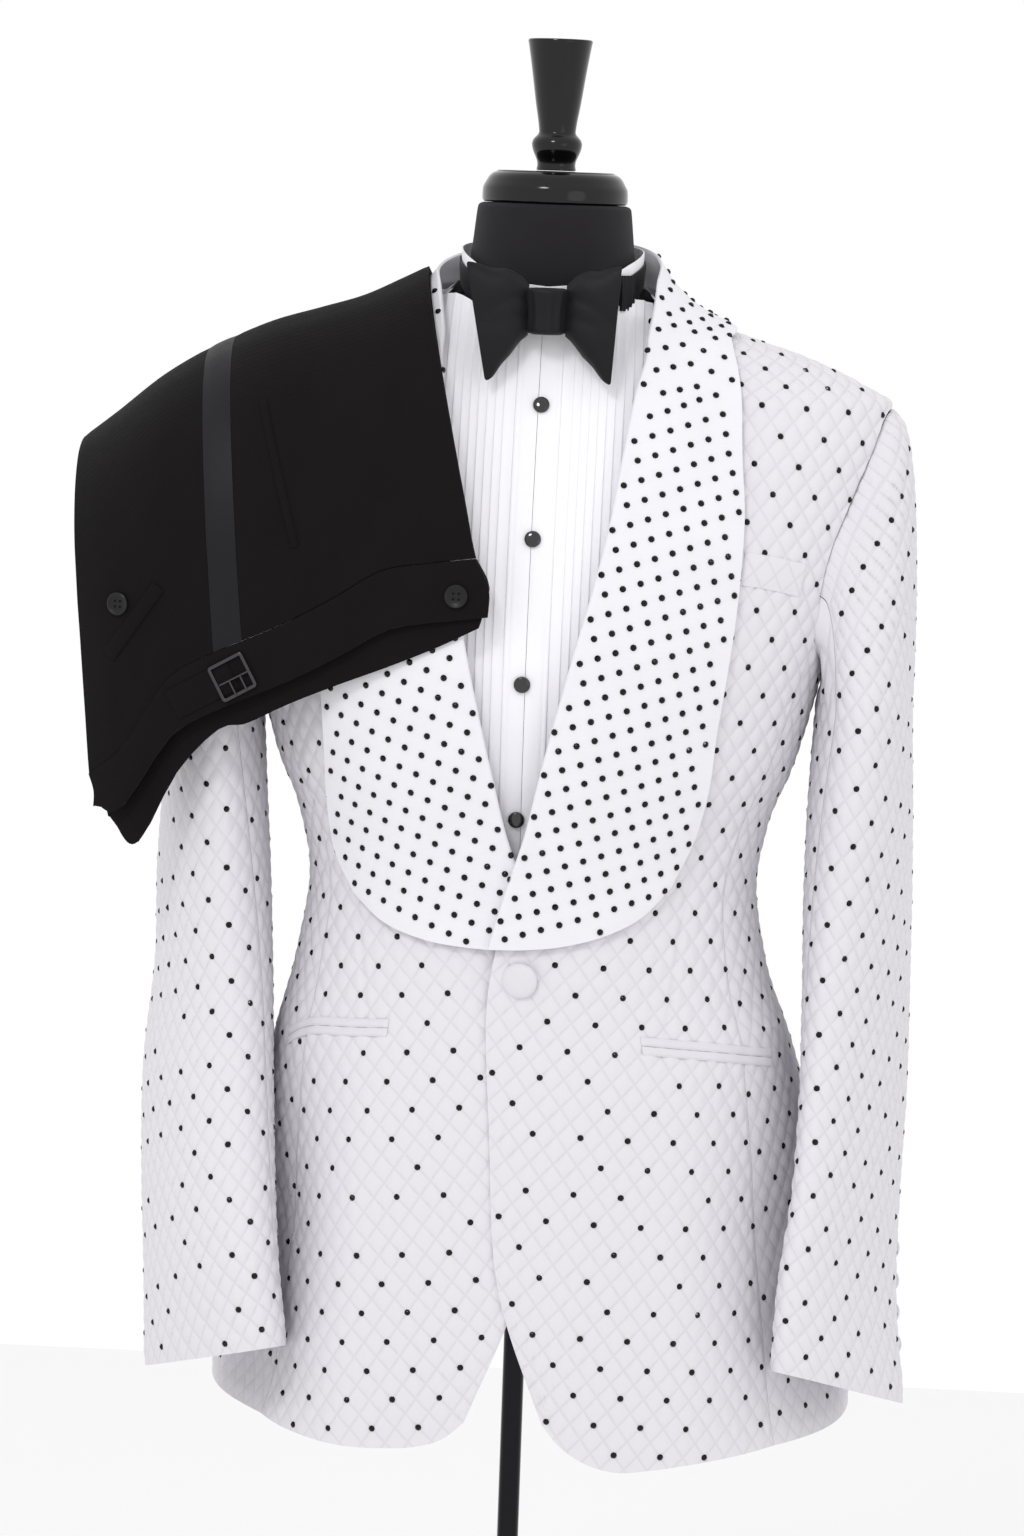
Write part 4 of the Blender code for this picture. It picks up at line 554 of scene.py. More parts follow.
def shell(name, outer, inner, material, uv=None, skip=1, ring=False, sharp=35):
    """A thin closed wall: a fine outer face, an inner face of every skip-th row and column, a rim."""
    rows, columns = outer.shape[:2]
    coarse = inner[::skip, ::skip]
    near = np.arange(rows * columns).reshape(rows, columns)
    far = rows * columns + np.arange(coarse.shape[0] * coarse.shape[1]).reshape(coarse.shape[:2])
    if ring:
        near, far = (np.concatenate([g, g[:, :1]], axis=1) for g in (near, far))
    faces = quads(near).tolist() + quads(far)[:, ::-1].tolist()
    loops = [(near[0], far[0]), (near[-1, ::-1], far[-1, ::-1])]
    if not ring:
        loops += [(near[:, -1], far[:, -1]), (near[::-1, 0], far[::-1, 0])]
    for fine, plain in loops:
        for i in range(len(plain) - 1):
            edge = fine[i * skip:(i + 1) * skip + 1][::-1].tolist()
            faces.append([*edge, int(plain[i]), int(plain[i + 1])])
    points = np.concatenate([outer.reshape(-1, 3), coarse.reshape(-1, 3)])
    if uv is not None:
        uv = np.concatenate([uv.reshape(-1, 2), uv[::skip, ::skip].reshape(-1, 2)])
    return skin(name, points, faces, material, uv, sharp)


def weave(tree, uv, pitch, strength, depth, twill=False):
    """Bump of a weave with its threads `pitch` apart; a twill's ribs run slantwise."""
    across, up = (node(tree, "SeparateXYZ", {0: uv}).node.outputs[i] for i in range(2))
    if twill:
        across = node(tree, "Math", {0: across, 1: up}, operation="ADD")
    waves = []
    for length, step in ((across, pitch), (up, pitch * (4 if twill else 1))):
        turns = node(tree, "Math", {0: length, 1: 2 * math.pi / step}, operation="MULTIPLY")
        waves.append(node(tree, "Math", {0: turns}, operation="SINE"))
    height = node(tree, "Math", {0: waves[0], 1: waves[1]}, operation="MAXIMUM" if not twill else "ADD")
    return node(tree, "Bump", {"Height": height, "Strength": strength, "Distance": depth})


# Cotton poplin: a plain weave of fine bleached threads, matt and slightly see-through, so bright
# with soft shadows. The threads are drawn 0.6 mm apart, twice the real ones, so that they show.
poplin, tree, shader = finish("cotton_poplin", "eeedf2", 0.82, Specular_IOR_Level=0.3)
cloth = node(tree, "UVMap", {}, uv_map="cloth")
vary_colour(tree, shader, noise(tree, cloth, 0.05, 3.0), "f0eff4", "f7f6fa")
tree.links.new(weave(tree, cloth, 0.6 * MM, 0.25, 0.15 * MM), shader["Normal"])


def shirt_outer_line(side, arm):
    """The side seam, then the armhole, from hem to shoulder."""
    seam = through(around(SHIRT_RISE, side), SIDE_STATIONS)
    return np.vstack([seam, through(around(arm, side), ARMHOLE_STATIONS)])


def shirt_shell(name, grid, cut, grain, **edges):
    """One cut piece of the shirt, from its (angle, height) grid."""
    grid = finer(finer(grid, 5), 5, axis=1)
    angle, height = grid[..., 0], grid[..., 1]
    lift = shirt_lift(angle, height)
    made = shell(name, inset(surface(angle, height, lift), **edges),
                 inset(surface(angle, height, lift - SHIRT_WALL), **edges), poplin,
                 cloth_place(angle, height, grain), skip=4)
    settle(made, "white_poplin", name)
    return made


SHIRT_CUT = {"front": (0.30, 0.74, 0.101), "back": (0.56, 0.70, 0.300)}  # width, length, area
for side, word in WORDS.items():
    outer = shirt_outer_line(side, SHIRT_ARM)
    edge_x = PLACKET_X + side * (BIB_HALF + 0.6 * MM)
    rise = front([(edge_x, h) for h in (SHIRT_HEM, 0.90, 1.00, 1.10, 1.20, 1.30, 1.36, 1.41, 1.445)], side)
    inner = through(np.vstack([rise, around([(2, 1.4690)], side)]), fractions(outer))
    count = np.linspace(0, 1, 8)
    hem = through(np.vstack([inner[:1], around([(-30, SHIRT_HEM), (SHIRT_SIDE, SHIRT_HEM)], side)]), count)
    seam = through(np.vstack([inner[-1:], around([(2, 1.4300), (2, 1.3900)], side)]), count)
    shirt_shell(f"shirt_front_{word}", patch(hem, seam, inner, outer), SHIRT_CUT["front"],
                inner[0, 0], left=SEAM_GAP / 2, right=SEAM_GAP / 2, top=SEAM_GAP / 2)

halves = [shirt_outer_line(side, SHIRT_ARM_BACK) for side in (RIGHT, LEFT)]
seams = [through(around([(2, 1.3900), (2, 1.4300), (2, 1.4720)], side), np.linspace(0, 1, 7))
         for side in (RIGHT, LEFT)]
neck = np.vstack([around(SHIRT_NECK_BACK, RIGHT)[::-1], around(SHIRT_NECK_BACK)[1:]])
top = np.vstack([seams[0], through(neck, np.linspace(0, 1, 7))[1:-1], seams[1][::-1]])
hem = np.stack([np.linspace(halves[0][0, 0], halves[1][0, 0], len(top)), np.full(len(top), SHIRT_HEM)], -1)
shirt_shell("shirt_back", patch(hem, top, halves[0], halves[1]), SHIRT_CUT["back"], math.pi / 2,
            left=SEAM_GAP / 2, right=SEAM_GAP / 2, top=SEAM_GAP / 2)


# ---------------------------------------------------------------- tucked bib of the shirt
# Each half is a strip of the same poplin folded into eleven narrow tucks, pressed outwards and
# stitched down, beside its half of the placket, which is doubled and stitched along both edges.

TUCK_RISE = 0.55 * MM
BIB_TOP = [  # neck edge of the tucked front: distance from the placket's middle, height
    (0.000, 1.4415), (0.025, 1.4440), (0.040, 1.4530), (0.052, 1.4625), (0.062, 1.4655), (0.082, 1.4600),
]
TUCK_SHAPE = [  # share of the pitch, share of the rise: flat, up over the fold, and under it
    (0.02, 0.0), (0.25, 0.10), (0.50, 0.38), (0.68, 0.72), (0.79, 0.96), (0.86, 1.0), (0.91, 0.72),
    (0.935, 0.25),
]
PLACKET_SHAPE = [  # distance from the middle, rise: its doubled edge and the row of stitches inside
    (SEAM_GAP / 2, 1.05 * MM), (0.6 * MM, 1.2 * MM), (4.0 * MM, 1.25 * MM), (9.0 * MM, 1.25 * MM),
    (11.3 * MM, 1.2 * MM), (12.0 * MM, 0.95 * MM), (12.7 * MM, 1.2 * MM), (14.2 * MM, 1.2 * MM),
    (14.8 * MM, 0.95 * MM), (PLACKET_HALF, 0.6 * MM), (PLACKET_HALF + 0.3 * MM, 0.0),
]
for side, word in WORDS.items():
    steps, rise = (list(column) for column in zip(*PLACKET_SHAPE))
    for tuck in range(TUCKS):
        start = PLACKET_HALF + 2.5 * MM + tuck * TUCK_PITCH
        steps += [start + share * TUCK_PITCH for share, _ in TUCK_SHAPE]
        rise += [share * TUCK_RISE for _, share in TUCK_SHAPE]
    steps, rise = np.array(steps), np.array(rise)
    share = np.linspace(0, 1, 61)[:, None]
    height = SHIRT_HEM + share * (smooth(BIB_TOP, steps) - SHIRT_HEM)[None, :]
    x = PLACKET_X + side * steps[None, :] + 0 * height
    place = front(np.stack([x, height], -1).reshape(-1, 2), side).reshape(*x.shape, 2)
    angle, height = place[..., 0], place[..., 1]
    lift = shirt_lift(angle, height)
    made = shell(f"shirt_bib_{word}", surface(angle, height, lift + rise),
                 surface(angle, height, lift - SHIRT_WALL), poplin,
                 np.stack([x, height], -1), sharp=50)
    settle(made, "white_poplin", f"shirt_bib_{word}")


# ---------------------------------------------------------------- shirt collar
# A low standing band of doubled and fused poplin round the neck, which the tie covers in front.

COLLAR_HALF = np.array((0.0602, 0.0588))  # half width, half depth
COLLAR_WALL = 1.1 * MM
NECK_COLUMNS = 112  # steps round the neck
COLLAR = [  # degrees, bottom, top
    (-90, 1.4425, 1.4705), (-60, 1.4475, 1.4740), (-30, 1.4640, 1.4860), (0, 1.4765, 1.4935),
    (45, 1.4750, 1.4975), (90, 1.4740, 1.5000),
]


def neck_ring(half, rows, levels, rounded=0.0):
    """A ring about the neck, between two heights that change on the way round."""
    angle = (np.arange(NECK_COLUMNS) + 0.5) * 2 * math.pi / NECK_COLUMNS - math.pi
    fold = np.degrees(np.where(np.abs(angle) > math.pi / 2, np.sign(angle) * math.pi - angle, angle))
    bottom = smooth([(row[0], row[1]) for row in rows], fold)
    top = smooth([(row[0], row[2]) for row in rows], fold)
    share = np.linspace(0, 1, levels)[:, None]
    height = bottom + share * (top - bottom)
    crown = 1 - (2 * share - 1) ** 6  # the edges are pressed thinner
    flare = 1 + 0.02 * (share - 0.5)
    return np.stack([(half[0] * flare - rounded * (1 - crown)) * np.cos(angle),
                     (half[1] * flare - rounded * (1 - crown)) * np.sin(angle), height], -1)


def ring_cloth(grid):
    """Flat cloth coordinates of a ring: length round its middle row, and height."""
    middle = grid[len(grid) // 2]
    steps = np.linalg.norm(middle - np.roll(middle, 1, axis=0), axis=1)
    return np.stack([np.cumsum(steps) + 0 * grid[..., 0], grid[..., 2]], -1)


outer = neck_ring(COLLAR_HALF, COLLAR, 9, rounded=0.35 * MM)
made = shell("shirt_collar", outer, neck_ring(COLLAR_HALF - COLLAR_WALL, COLLAR, 9), poplin,
             ring_cloth(outer), ring=True)
settle(made, "white_poplin", "shirt_collar")


# ---------------------------------------------------------------- shirt studs
# Four dress studs through the placket: a low polished onyx dome in a rolled dark rim.

STUD_HEIGHTS = (1.397, 1.312, 1.217, 1.127)
STUD_X = (-0.001, -0.002, -0.005, -0.006)
# Polished onyx: jet black stone, glassy and smooth, so it mirrors the lights as small highlights.
onyx, tree, shader = finish("polished_onyx", "050506", 0.05, IOR=1.54, Coat_Weight=0.5, Coat_Roughness=0.03)
# Black rhodium plate on brass, rolled and polished: a dark gleam with a fine brushed grain.
rhodium, tree, shader = finish("black_rhodium_rim", "3a393b", 0.30, Metallic=1.0)
vary_roughness(tree, shader, noise(tree, in_space(tree), 0.0008, 2.0), 0.16, 0.30)


def resting_tree(names):
    """What a laid piece rests on: the faces of some pieces already made."""
    points, faces = [], []
    for name in names:
        mesh = bpy.data.objects[f"{name}_look"].data
        start = len(points)
        points += [v.co.copy() for v in mesh.vertices]
        faces += [[start + i for i in face.vertices] for face in mesh.polygons]
    return BVHTree.FromPolygons(points, faces)


def seat_on(tree, point, inward, gap=SEAM_GAP):
    """The matrix that seats a turned piece flat on the face below a point."""
    start, direction = Vector(point), Vector(inward).normalized()
    hit, out, _, _ = tree.ray_cast(start - 0.06 * direction, direction)
    if out.dot(direction) > 0:
        out = -out
    return Matrix.Translation(hit + gap * out) @ out.to_track_quat("Z", "Y").to_matrix().to_4x4()


def joined(name, pieces):
    """One object of several, each keeping its material."""
    with bpy.context.temp_override(active_object=pieces[0], selected_editable_objects=pieces):
        bpy.ops.object.join()
    pieces[0].name = f"{name}_look"
    return pieces[0]


rim_profile = [(0.0040, 0.0), (0.0050, 0.0), (0.0053, 0.0003), (0.0054, 0.0009), (0.0053, 0.0014),
               (0.0050, 0.0017), (0.0047, 0.0016), (0.0045, 0.0013)]
stone_profile = [(0.0030, 0.0006), (0.0050, 0.0010), (0.00515, 0.0018), (0.0049, 0.0023), (0.0040, 0.0027),
                 (0.0024, 0.0030), (0.0008, 0.0031)]
tree = resting_tree(("shirt_bib_left", "shirt_bib_right"))
for number, (x, height) in enumerate(zip(STUD_X, STUD_HEIGHTS), 1):
    angle, level = front([(x, height)])[0]
    outer, inner = (surface(angle, level, lift) for lift in (0.01, 0.0))
    stud = joined(f"shirt_stud_{number}", [turned("rim", rim_profile, 36, rhodium),
                                           turned("stone", finer(stone_profile, 2), 36, onyx, 60)])
    stud.data.transform(seat_on(tree, inner, inner - outer))
    settle(stud, "onyx_stud", f"shirt_stud_{number}")


# ---------------------------------------------------------------- bow tie
# A self-tied bow of black silk satin on a band with a hook and slide. Each wing is the folded end
# of the tie, doubled and pressed, and the knot gathers both between finger and thumb.

BAND_WALL = 1.0 * MM
BAND = [  # degrees, bottom, top
    (-90, 1.4470, 1.4640), (-60, 1.4500, 1.4680), (-30, 1.4610, 1.4790), (0, 1.4700, 1.4870),
    (45, 1.4740, 1.4900), (90, 1.4750, 1.4910),
]
KNOT_PLACE = np.array((0.0005, -0.0723, 1.4550))
KNOT_HALF = (0.0132, 0.0112)  # half width, half depth
WING = [  # out, height, half_height, half_depth
    (0.0122, 1.4555, 0.0165, 0.0062), (0.0175, 1.4560, 0.0215, 0.0095), (0.0245, 1.4540, 0.0275, 0.0112),
    (0.0320, 1.4510, 0.0310, 0.0105), (0.0390, 1.4485, 0.0360, 0.0080), (0.0440, 1.4475, 0.0380, 0.0050),
    (0.0455, 1.4475, 0.0370, 0.0025),
]
WING_LEAN = {LEFT: 0.06, RIGHT: 0.19}  # how far a wing's outer edge leans out per height

# Silk satin: long floats of fine thread lie along the cloth, so a soft streaked gloss that turns
# with the folds, over a very dark blue-black. The threads are drawn 0.5 mm apart, coarser than real.
satin, tree, shader = finish("silk_satin", "121015", 0.50, Specular_IOR_Level=0.20, Anisotropic=0.4,
                             Sheen_Weight=0.04)
place = in_space(tree)
floats = noise(tree, node(tree, "Mapping", {"Vector": place, "Scale": (1, 1, 12)}), 0.006, 4.0)
vary_roughness(tree, shader, floats, 0.42, 0.60)
threads = node(tree, "TexWave", {"Vector": place, "Scale": 1 / 0.0016, "Distortion": 1.5, "Detail": 2.0},
               bands_direction="Z")
emboss(tree, shader, threads, 0.18, 0.1 * MM)

half = COLLAR_HALF + SEAM_GAP + BAND_WALL
outer = neck_ring(half, BAND, 9, rounded=0.3 * MM)
made = shell("tie_band", outer, neck_ring(half - BAND_WALL, BAND, 9), satin, ring_cloth(outer), ring=True)
settle(made, "black_satin", "tie_band")

# The hook and slide that shorten the band, on the wearer's left, covered in the same satin.
angle = np.radians(np.linspace(-42, -30, 25))
height = np.linspace(1.4560, 1.4790, 9)[:, None]
rings = []
for out in (half * 1.01 + 2.2 * MM, half * 1.01 + 0.5 * MM):
    rib = 0.35 * MM * np.cos(np.linspace(0, 8 * math.pi, 25)) * (out[0] > half[0] + 2 * MM)
    rings.append(np.stack([(out[0] + rib) * np.cos(angle) + 0 * height,
                           (out[1] + rib) * np.sin(angle) + 0 * height, height + 0 * angle], -1))
settle(shell("tie_band_slide", *rings, satin), "black_satin", "tie_band_slide")

knot = [  # height, share of the full width: the gathers spread from the middle
    (-0.0150, 0.70), (-0.0143, 0.84), (-0.0120, 0.96), (-0.0060, 0.93), (0.0, 0.90), (0.0060, 0.94),
    (0.0120, 1.00), (0.0143, 0.90), (0.0150, 0.74),
]
knot = finer(knot, 4)
angle = np.arange(96) * 2 * math.pi / 96
rings = []
for rise, share in knot:
    gather = 1 + 0.045 * np.cos(9 * angle + 0.6) * (1 - (rise / 0.016) ** 2) + 0.03 * np.cos(4 * angle)
    rings.append(np.stack([KNOT_PLACE[0]
                           + KNOT_HALF[0] * share * gather * np.cos(angle) * (1 + 0.06 * rise / 0.015),
                           KNOT_PLACE[1] + 0.0005 + KNOT_HALF[1] * share * gather * np.sin(angle),
                           KNOT_PLACE[2] + rise + 0 * angle], -1))
made = closed_rings("tie_knot", rings, satin, sharp=60)
settle(made, "black_satin", "tie_knot")

angle = np.arange(72) * 2 * math.pi / 72
wing = finer(WING, 6)
for side, word in WORDS.items():
    rings = []
    for number, (out, height, half_height, half_depth) in enumerate(wing):
        share = number / (len(wing) - 1)
        fold = 1 + 0.22 * np.cos(3 * angle) * (1 - share)
        pleat = (2.2 * MM * np.exp(-((np.sin(angle) - 0.45 + 0.5 * share) / 0.13) ** 2)
                 + 1.6 * MM * np.exp(-((np.sin(angle) + 0.25 - 0.3 * share) / 0.15) ** 2)
                 ) * (1 - share) ** 0.7
        fore = (np.cos(angle) < 0)
        y = (KNOT_PLACE[1] + 0.004 - 0.012 * share + half_depth * fold * np.cos(angle) + pleat * fore)
        z = height + half_height * np.sin(angle)
        lean = WING_LEAN[side] * (z - height) * ease_in_out(share * 1.2)
        rings.append(np.stack([KNOT_PLACE[0] + side * (out + lean), y, z], -1))
    made = closed_rings(f"tie_wing_{word}", rings, satin, sharp=60)
    settle(made, "black_satin", f"tie_wing_{word}")


# ---------------------------------------------------------------- body of the jacket
# Six panels of ivory cloth quilted onto wadding in diamonds: two fronts with a dart, two sides and
# two backs with a centre seam, joined by pressed seams and turned up at the hem.

JACKET_WALL = 2.0 * MM
TIP = (2, 1.3985)
FRONT_SEAM = (-24, 1.246)
BACK_SEAM = (25, 1.243)
ARM_FRONT = [TIP, (-9, 1.3945), (-15, 1.385), (-19.5, 1.362), (-23, 1.340), (-27, 1.312), (-28, 1.290),
             (-26.5, 1.266), FRONT_SEAM]
ARM_UNDER = [FRONT_SEAM, (-18, 1.236), (-8, 1.226), (1, 1.2225), (10, 1.225), (19, 1.234), BACK_SEAM]
ARM_BACK = [BACK_SEAM, (30, 1.262), (32, 1.285), (31, 1.310), (28, 1.340), (23, 1.366), (16, 1.387),
            (9, 1.396), TIP]
ARM_STATIONS = np.linspace(0, 1, 9) ** 1.2  # closer together towards the shoulder
SHOULDER_SEAM = [(2, 1.4615), (2, 1.4450), (2, 1.4240), TIP]
CENTRE_BACK = [(90, 0.722), (90, 0.90), (90, 1.075), (90, 1.25), (90, 1.38), (90, 1.4665)]
BACK_NECK = [(90, 1.4665), (60, 1.4655), (30, 1.4635), (2, 1.4615)]
SIDE_BACK = [(42, 0.717), (40, 0.90), (34, 1.075), (28, 1.18), BACK_SEAM]
SIDE_FRONT = {
    LEFT: [(-41, 0.7145), (-39, 0.90), (-33, 1.075), (-27, 1.18), FRONT_SEAM],
    RIGHT: [(-36, 0.7155), (-35, 0.90), (-31, 1.075), (-26, 1.18), FRONT_SEAM],
}
FRONT_EDGE = {
    LEFT: [(0.026, 0.7360), (0.015, 0.7530), (0.007, 0.7730), (0.001, 0.795), (-0.006, 0.826),
           (-0.011, 0.867), (-0.015, 0.923), (-0.019, 0.972), (-0.020, 1.003), (-0.0195, 1.036)],
    RIGHT: [(-0.025, 0.734), (-0.0165, 0.748), (-0.010, 0.762), (-0.0045, 0.777), (0.000, 0.795),
            (0.009, 0.830), (0.016, 0.880), (0.021, 0.950), (0.022, 1.003), (0.0205, 1.036)],
}
ROLL = {
    LEFT: [(-0.0185, 1.0440), (-0.0165, 1.0550), (-0.0100, 1.0790), (-0.0010, 1.1090), (0.0050, 1.1370),
           (0.0160, 1.1860), (0.0290, 1.2390), (0.0410, 1.2860), (0.0490, 1.3250), (0.0575, 1.3800),
           (0.0620, 1.4090)],
    RIGHT: [(0.0195, 1.0440), (0.0150, 1.0550), (0.0030, 1.0800), (-0.0090, 1.1090), (-0.0160, 1.1370),
            (-0.0270, 1.1760), (-0.0420, 1.2390), (-0.0520, 1.2860), (-0.0580, 1.3250), (-0.0630, 1.3800),
            (-0.0650, 1.4090)],
}
ROLL_NECK = [(-61, 1.4370), (-44, 1.4505), (-24, 1.4580), (2, 1.4615)]
HEM_FRONT = {
    LEFT: [(0.026, 0.736), (0.033, 0.727), (0.046, 0.716), (0.059, 0.7095), (0.075, 0.7055), (0.092, 0.706),
           (0.125, 0.7095), (0.160, 0.7125)],
    RIGHT: [(-0.025, 0.734), (-0.034, 0.7255), (-0.044, 0.7195), (-0.058, 0.7155), (-0.080, 0.7125),
            (-0.105, 0.711), (-0.135, 0.7120), (-0.165, 0.7140)],
}
PANEL_SET_BACK = 2.7 * MM  # the front's raw edge behind the lapel's fold
LAP = [  # how far the wearer's left front is lifted where it laps over the right, in mm
    (0.70, 3.0), (0.98, 3.2), (1.035, 6.3), (1.090, 6.3), (1.240, 0.0),
]
SLEEVE_DENT = {  # how far the skirt is pushed in by the sleeve hanging against it, in mm
    LEFT: [(0.70, 10.0), (0.75, 18.0), (0.84, 20.0), (0.90, 15.0), (0.985, 0.0)],
    RIGHT: [(0.70, 14.5), (0.75, 28.0), (0.84, 29.0), (0.90, 20.0), (0.985, 1.0), (1.02, 0.0)],
}
SEAM_ROWS = (0, 0.13, 0.26, 0.38, 0.48, 0.56, 0.63, 0.69, 0.75, 0.82, 0.91, 1)
DIAMOND = np.array((15.6, 19.6)) * MM  # width and height of a quilted diamond
QUILT_RISE = 1.5 * MM

FRONT_GRAIN = 0.080  # x of the line each front is measured from

PATTERN = {  # on flat cloth, in mm: where one stone lies, and the steps to the next in its row and
    # to one in the next row
    "jacket_front_left": ((27.5, 9.5), (30.7, -1.8), (16.8, 17.8)),
    "jacket_front_right": ((-25.0, -74.5), (31.2, 4.0), (13.1, 20.8)),
    "sleeve_top_left": ((37.0, 288.5), (26.9, 7.5), (15.3, 22.7)),
    "sleeve_top_right": ((29.5, 196.0), (26.4, 6.6), (14.8, 22.8)),
}
CREASES = {  # the darts, stretch by stretch: (x, height) ends, half width in mm, depth in mm
    LEFT: [
        ((0.110, 1.110), (0.102, 1.051), 2.2, 0.9), ((0.102, 1.051), (0.095, 0.989), 2.2, 0.9),
    ],
    RIGHT: [
        ((-0.111, 1.073), (-0.105, 1.035), 2.2, 0.9), ((-0.105, 1.035), (-0.099, 0.991), 2.2, 0.9),
    ],
}


def quilting(uv):
    """Height of the wadding between the lines of stitches, from 0 on them to 1."""
    across, up = uv[..., 0] / DIAMOND[0], uv[..., 1] / DIAMOND[1]
    a, b = across + up, across - up
    return np.abs(np.sin(math.pi * a) * np.sin(math.pi * b)) ** 0.6


def edge_fade(shape, steps):
    """0 on the edges of a grid, 1 from some steps inside them."""
    rows, columns = (np.minimum(np.arange(n), n - 1 - np.arange(n)) for n in shape)
    return ease_in_out(np.minimum(rows[:, None], columns[None]) / steps)


def folds(points, creases):
    """Depth of soft troughs, or height of ridges, along (x, height) lines on a grid of points."""
    total = np.zeros(points.shape[:-1])
    place = points[..., (0, 2)]
    for start, end, half_width, depth in creases:
        start, along = np.array(start), np.array(end) - np.array(start)
        share = np.clip(((place - start) @ along) / (along @ along), 0, 1)
        away = np.linalg.norm(place - start - share[..., None] * along, axis=-1)
        total -= depth * MM * np.exp(-(away / (half_width * MM)) ** 2)
    return total


# Quilted ivory cloth over thin wadding. Each line of stitches pulls the cloth into a narrow groove,
# and the groove's shade is painted into the colour as a slightly darker grey; the matt cloth between the
# grooves is finely woven and puffed up.
quilt, tree, shader = finish("quilted_ivory_cloth", "dbd9de", 0.85, Specular_IOR_Level=0.3)
cloth = node(tree, "UVMap", {}, uv_map="cloth")
across, up = (node(tree, "SeparateXYZ", {0: cloth}).node.outputs[i] for i in range(2))
wide = node(tree, "Math", {0: across, 1: 1 / DIAMOND[0]}, operation="MULTIPLY")
tall = node(tree, "Math", {0: up, 1: 1 / DIAMOND[1]}, operation="MULTIPLY")
slants = [node(tree, "Math", {0: wide, 1: tall}, operation=way) for way in ("ADD", "SUBTRACT")]
SEWN_PITCH = DIAMOND[0] * DIAMOND[1] / math.hypot(*DIAMOND)  # between parallel lines of stitches
grooves, threads = [], []
for slant, other in (slants, slants[::-1]):
    away = node(tree, "Math", {0: slant, 1: 0.5}, operation="PINGPONG")
    groove = node(tree, "MapRange", {"Value": away, "From Min": 0.0, "From Max": 2.4 * MM / SEWN_PITCH},
                  interpolation_type="SMOOTHSTEP")
    turns = node(tree, "Math", {0: other, 1: 5 * 2 * math.pi}, operation="MULTIPLY")  # five stitches a side
    stitch = node(tree, "MapRange", {"Value": node(tree, "Math", {0: turns}, operation="SINE"),
                                     "From Min": -0.6, "From Max": 0.6, "To Max": 0.25})
    near = node(tree, "MapRange", {"Value": away, "From Min": 0.35 * MM / SEWN_PITCH, "From Max": 0.0})
    grooves.append(groove)
    threads.append(node(tree, "Math", {0: stitch, 1: near}, operation="MULTIPLY"))
pillow = node(tree, "Math", {0: grooves[0], 1: grooves[1]}, operation="MINIMUM")
sewn = node(tree, "Math", {0: threads[0], 1: threads[1]}, operation="MAXIMUM")
height = node(tree, "Math", {0: pillow, 1: sewn}, operation="ADD")
fine = weave(tree, cloth, 0.9 * MM, 0.10, 0.1 * MM)
emboss(tree, shader, height, 0.35, 0.30 * MM, Normal=fine)
shade = node(tree, "MapRange", {"Value": noise(tree, cloth, 0.02, 4.0), "To Min": -0.10, "To Max": 0.10})
# Painted shade: the colour runs from a darker grey in the stitched grooves to a paler one on the puffs, over
# a random unevenness of tone.
tint = vary_colour(tree, shader, node(tree, "Math", {0: pillow, 1: shade}, operation="ADD"),
                   "d4d2d7", "dcdadf")
tint.color_ramp.elements[1].position = 0.5


def armhole(side):
    """The three stretches of the armhole as (angle, height) lines."""
    return [through(around(ARM_FRONT, side), ARM_STATIONS),
            through(around(ARM_UNDER, side), np.linspace(0, 1, 6)),
            through(around(ARM_BACK, side), 1 - ARM_STATIONS[::-1])]


def jacket_lift(angle, height, side):
    """Lift of a panel's inner face: the lap at the front edge and the dent behind the sleeve."""
    place = on_body(angle, height)
    x, turn = side * place[..., 0], np.degrees(np.arctan2(place[..., 1], np.abs(place[..., 0])))
    near = np.clip(1 - np.abs(turn + 22) / np.where(turn > -22, 34, 30), 0, 1)
    lift = -smooth(SLEEVE_DENT[side], height) * ease_in_out(near)
    if side == LEFT:
        lift = lift + np.where(turn < 0, smooth(LAP, height) * ease_in_out((0.110 - x) / 0.080), 0)
    return lift * MM


def roll_line(side, set_back=0.0):
    """From the bottom of the roll to the neck point, moved outwards by set_back."""
    rows = np.array(ROLL[side]) + (side * set_back, 0)
    neck = np.array(ROLL_NECK) + np.array([(1.5, -0.8 * MM), (0.5, -1.2 * MM), (0, -1.0 * MM), (0, 0)]) * (
        set_back > 0)
    return np.vstack([front(rows, side), around(neck, side)])


def laid(name, uv):
    """Cloth places, turned and eased so that the pattern has its stones where a piece has them."""
    if name not in PATTERN:
        return uv
    stone, along, over = np.array(PATTERN[name]) * MM
    width, height = DIAMOND
    return (uv - stone) @ np.linalg.inv([along, over]) @ [(2 * width, 0), (width, height)]


studded = {}  # name of a piece: its outer points, their cloth places and where stones may sit


def panel(name, grid, side, steps, grain, cut, creases=(), **edges):
    """One panel of the jacket, from its coarse (angle, height) grid and its grain line."""
    grid = finer(finer(grid, steps[0]), steps[1], axis=1)
    angle, height = grid[..., 0], grid[..., 1]
    if grain is None:
        line = front([(side * FRONT_GRAIN, h) for h in LEVELS], side)
        grain = np.interp(height, LEVELS, line[:, 0])
    uv = laid(name, cloth_place(angle, height, grain) - (0, 0.30))
    lift = jacket_lift(angle, height, side)
    soft = edge_fade(grid.shape[:2], 2.5)
    flat = surface(angle, height, lift)
    relief = QUILT_RISE * (quilting(uv) - 0.35) * soft - 0.5 * MM * (1 - soft) + folds(flat, creases)
    outer = inset(surface(angle, height, lift + JACKET_WALL + relief), **edges)
    made = shell(name, outer, inset(flat, **edges), quilt, uv, skip=4)
    settle(made, "quilted_ivory_cloth", name)
    studded[name] = (outer, uv, edge_fade(grid.shape[:2], 1.5) > 0.5)
    return made


